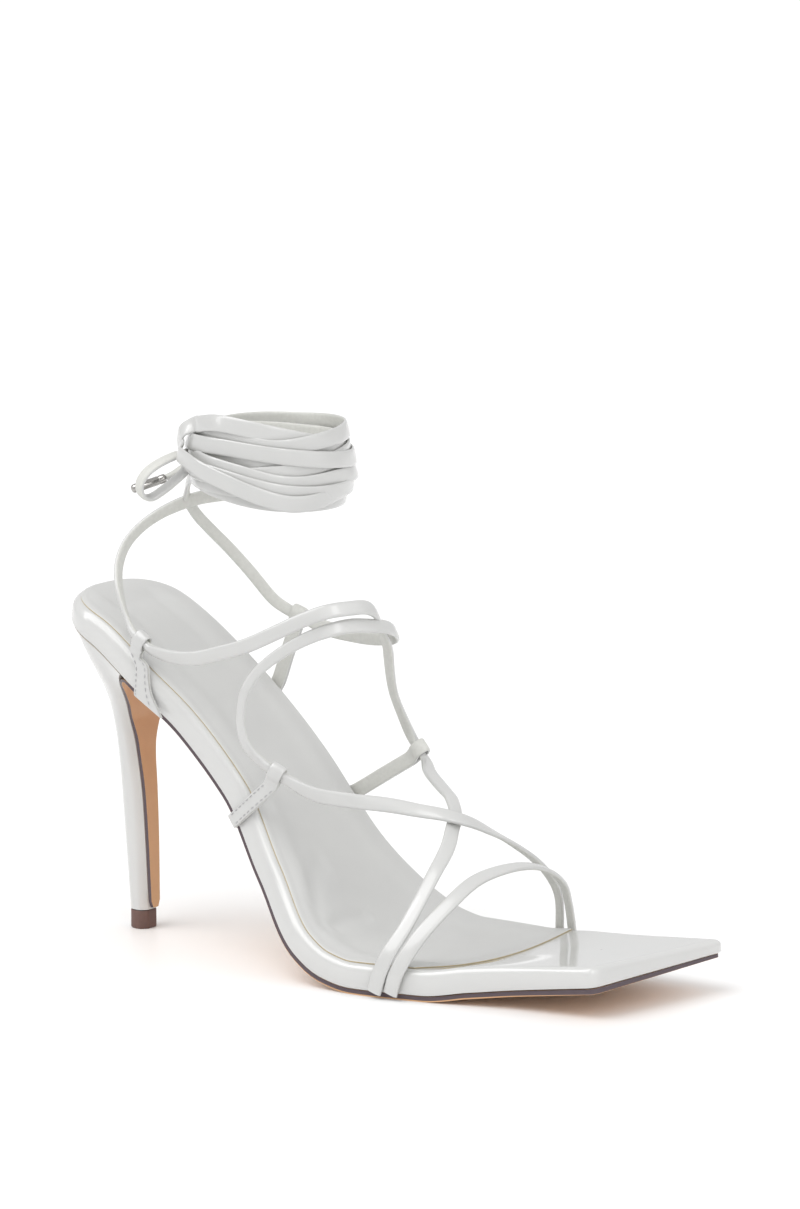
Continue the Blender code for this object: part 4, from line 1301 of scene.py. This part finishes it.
def build_room():
    """A pale paper floor and soft white light from all round."""
    clear_selection()
    bpy.ops.mesh.primitive_plane_add(size=FLOOR_SIZE)
    floor = bpy.context.object
    floor.name = "floor"
    paper = new_material("floor_paper", base_color=linear(FLOOR_WHITE), roughness=FLOOR_ROUGHNESS)[0]
    floor.data.materials.append(paper)
    world = bpy.data.worlds.new("studio")
    world.use_nodes = True
    background = world.node_tree.nodes["Background"]
    background.inputs["Color"].default_value = (1.0, 1.0, 1.0, 1.0)
    background.inputs["Strength"].default_value = ROOM_LIGHT
    bpy.context.scene.world = world


def add_light(kind, name, place, direction, power):
    """A light that stands at a place and shines back along a direction."""
    clear_selection()
    bpy.ops.object.light_add(type=kind, location=place)
    light = bpy.context.object
    light.name = name
    light.data.energy = power
    light.rotation_euler = Vector(direction).to_track_quat("Z", "Y").to_euler()
    return light


def build_lights():
    """The far panels, and the strips that only show in the lacquer."""
    for name, direction, power, angle in PANELS:
        panel = add_light("SUN", name, direction, direction, power)
        panel.data.angle = math.radians(angle)
    for name, place, size, power in STRIPS:
        strip = add_light("AREA", name, Vector(VIEW_TARGET) + Vector(place), place, power)
        strip.data.shape = "RECTANGLE"
        strip.data.size, strip.data.size_y = size
        strip.visible_diffuse = False
        strip.visible_camera = False


def build_camera():
    """The photograph's camera."""
    azimuth, elevation = math.radians(VIEW_AZIMUTH), math.radians(VIEW_ELEVATION)
    level = math.cos(elevation)
    back = Vector((math.sin(azimuth) * level, -math.cos(azimuth) * level, math.sin(elevation)))
    bpy.ops.object.camera_add(location=Vector(VIEW_TARGET) + back * VIEW_DISTANCE)
    camera = bpy.context.object
    camera.rotation_euler = (-back).to_track_quat("-Z", "Y").to_euler()
    camera.data.lens = VIEW_LENS
    camera.data.sensor_width = VIEW_FRAME
    camera.data.clip_end = VIEW_FAR
    bpy.context.scene.camera = camera
    bpy.context.scene.view_settings.view_transform = "Standard"


build_room()
build_lights()
build_camera()

strap_white = patent_leather("strap_patent", "#BEBEBD", "#C5C5C3", 0.36, 0.14, 0.05)
body_white = patent_leather("body_patent", "#C5C5C4", "#CBCBC9", 0.3, 0.06, 0.02)
# Undyed lining split on the backs of the straps: matt, a little warmer than the lacquer
lining = dull_face("strap_lining", "#D5D5D0", 0.5)
sock_white = sock_leather()
tan = sole_leather()
# Dark acrylic paint on the sole's cut edge, and gilt paint on the sock's: thin dull lines
sole_edge = dull_face("sole_edge", "#574A50", 0.4)
sock_edge = dull_face("sock_edge", "#BFAE88", 0.5)
# The cut edge of the heel's cover, turned in under the platform: a faint warm line, its colour darkened as
# painted shade for the shadow in the seam under the platform
heel_seam_painted_shade = dull_face("heel_seam_painted_shade", "#B8B0A3", 0.5)
# Moulded polyurethane: a dull brown rubber
tip_rubber = dull_face("top_piece_rubber", "#6B5049", 0.55)
# Waxed polyester thread: greyer than the leather, so each stitch reads
thread = dull_face("sewing_thread", "#B4B4B5", 0.6)
plate = nickel()

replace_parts(dress(build_platform(), "patent_leather", body_white), "platform")
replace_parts(dress(build_sock(), "sock_leather", sock_white, sock_edge), "sock")
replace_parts(dress(build_heel(), "heel_cover", body_white, heel_seam_painted_shade), "heel")
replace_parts(dress(build_heel_tip(), "top_piece", tip_rubber), "heel_tip")
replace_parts(dress(build_outsole(), "sole_leather", tan, sole_edge), "outsole")
for lace in build_laces():
    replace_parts(dress(lace, "strap_leather", strap_white, lining), "foot_straps")
    if lace.name != "toe_strap":
        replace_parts(lace, "ankle_ties")
for loop_name in LOOPS:
    fold, stitches = build_loop(loop_name)
    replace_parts(dress(fold, "loop_leather", strap_white, lining), "loop_" + loop_name)
    dress(stitches, "loop_leather", thread)
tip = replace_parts(dress(build_tip(), "tip_metal", plate), "tie_tip")
bow_points, bow = build_bow()
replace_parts(dress(bow, "strap_leather", strap_white, lining), "bow_loop")
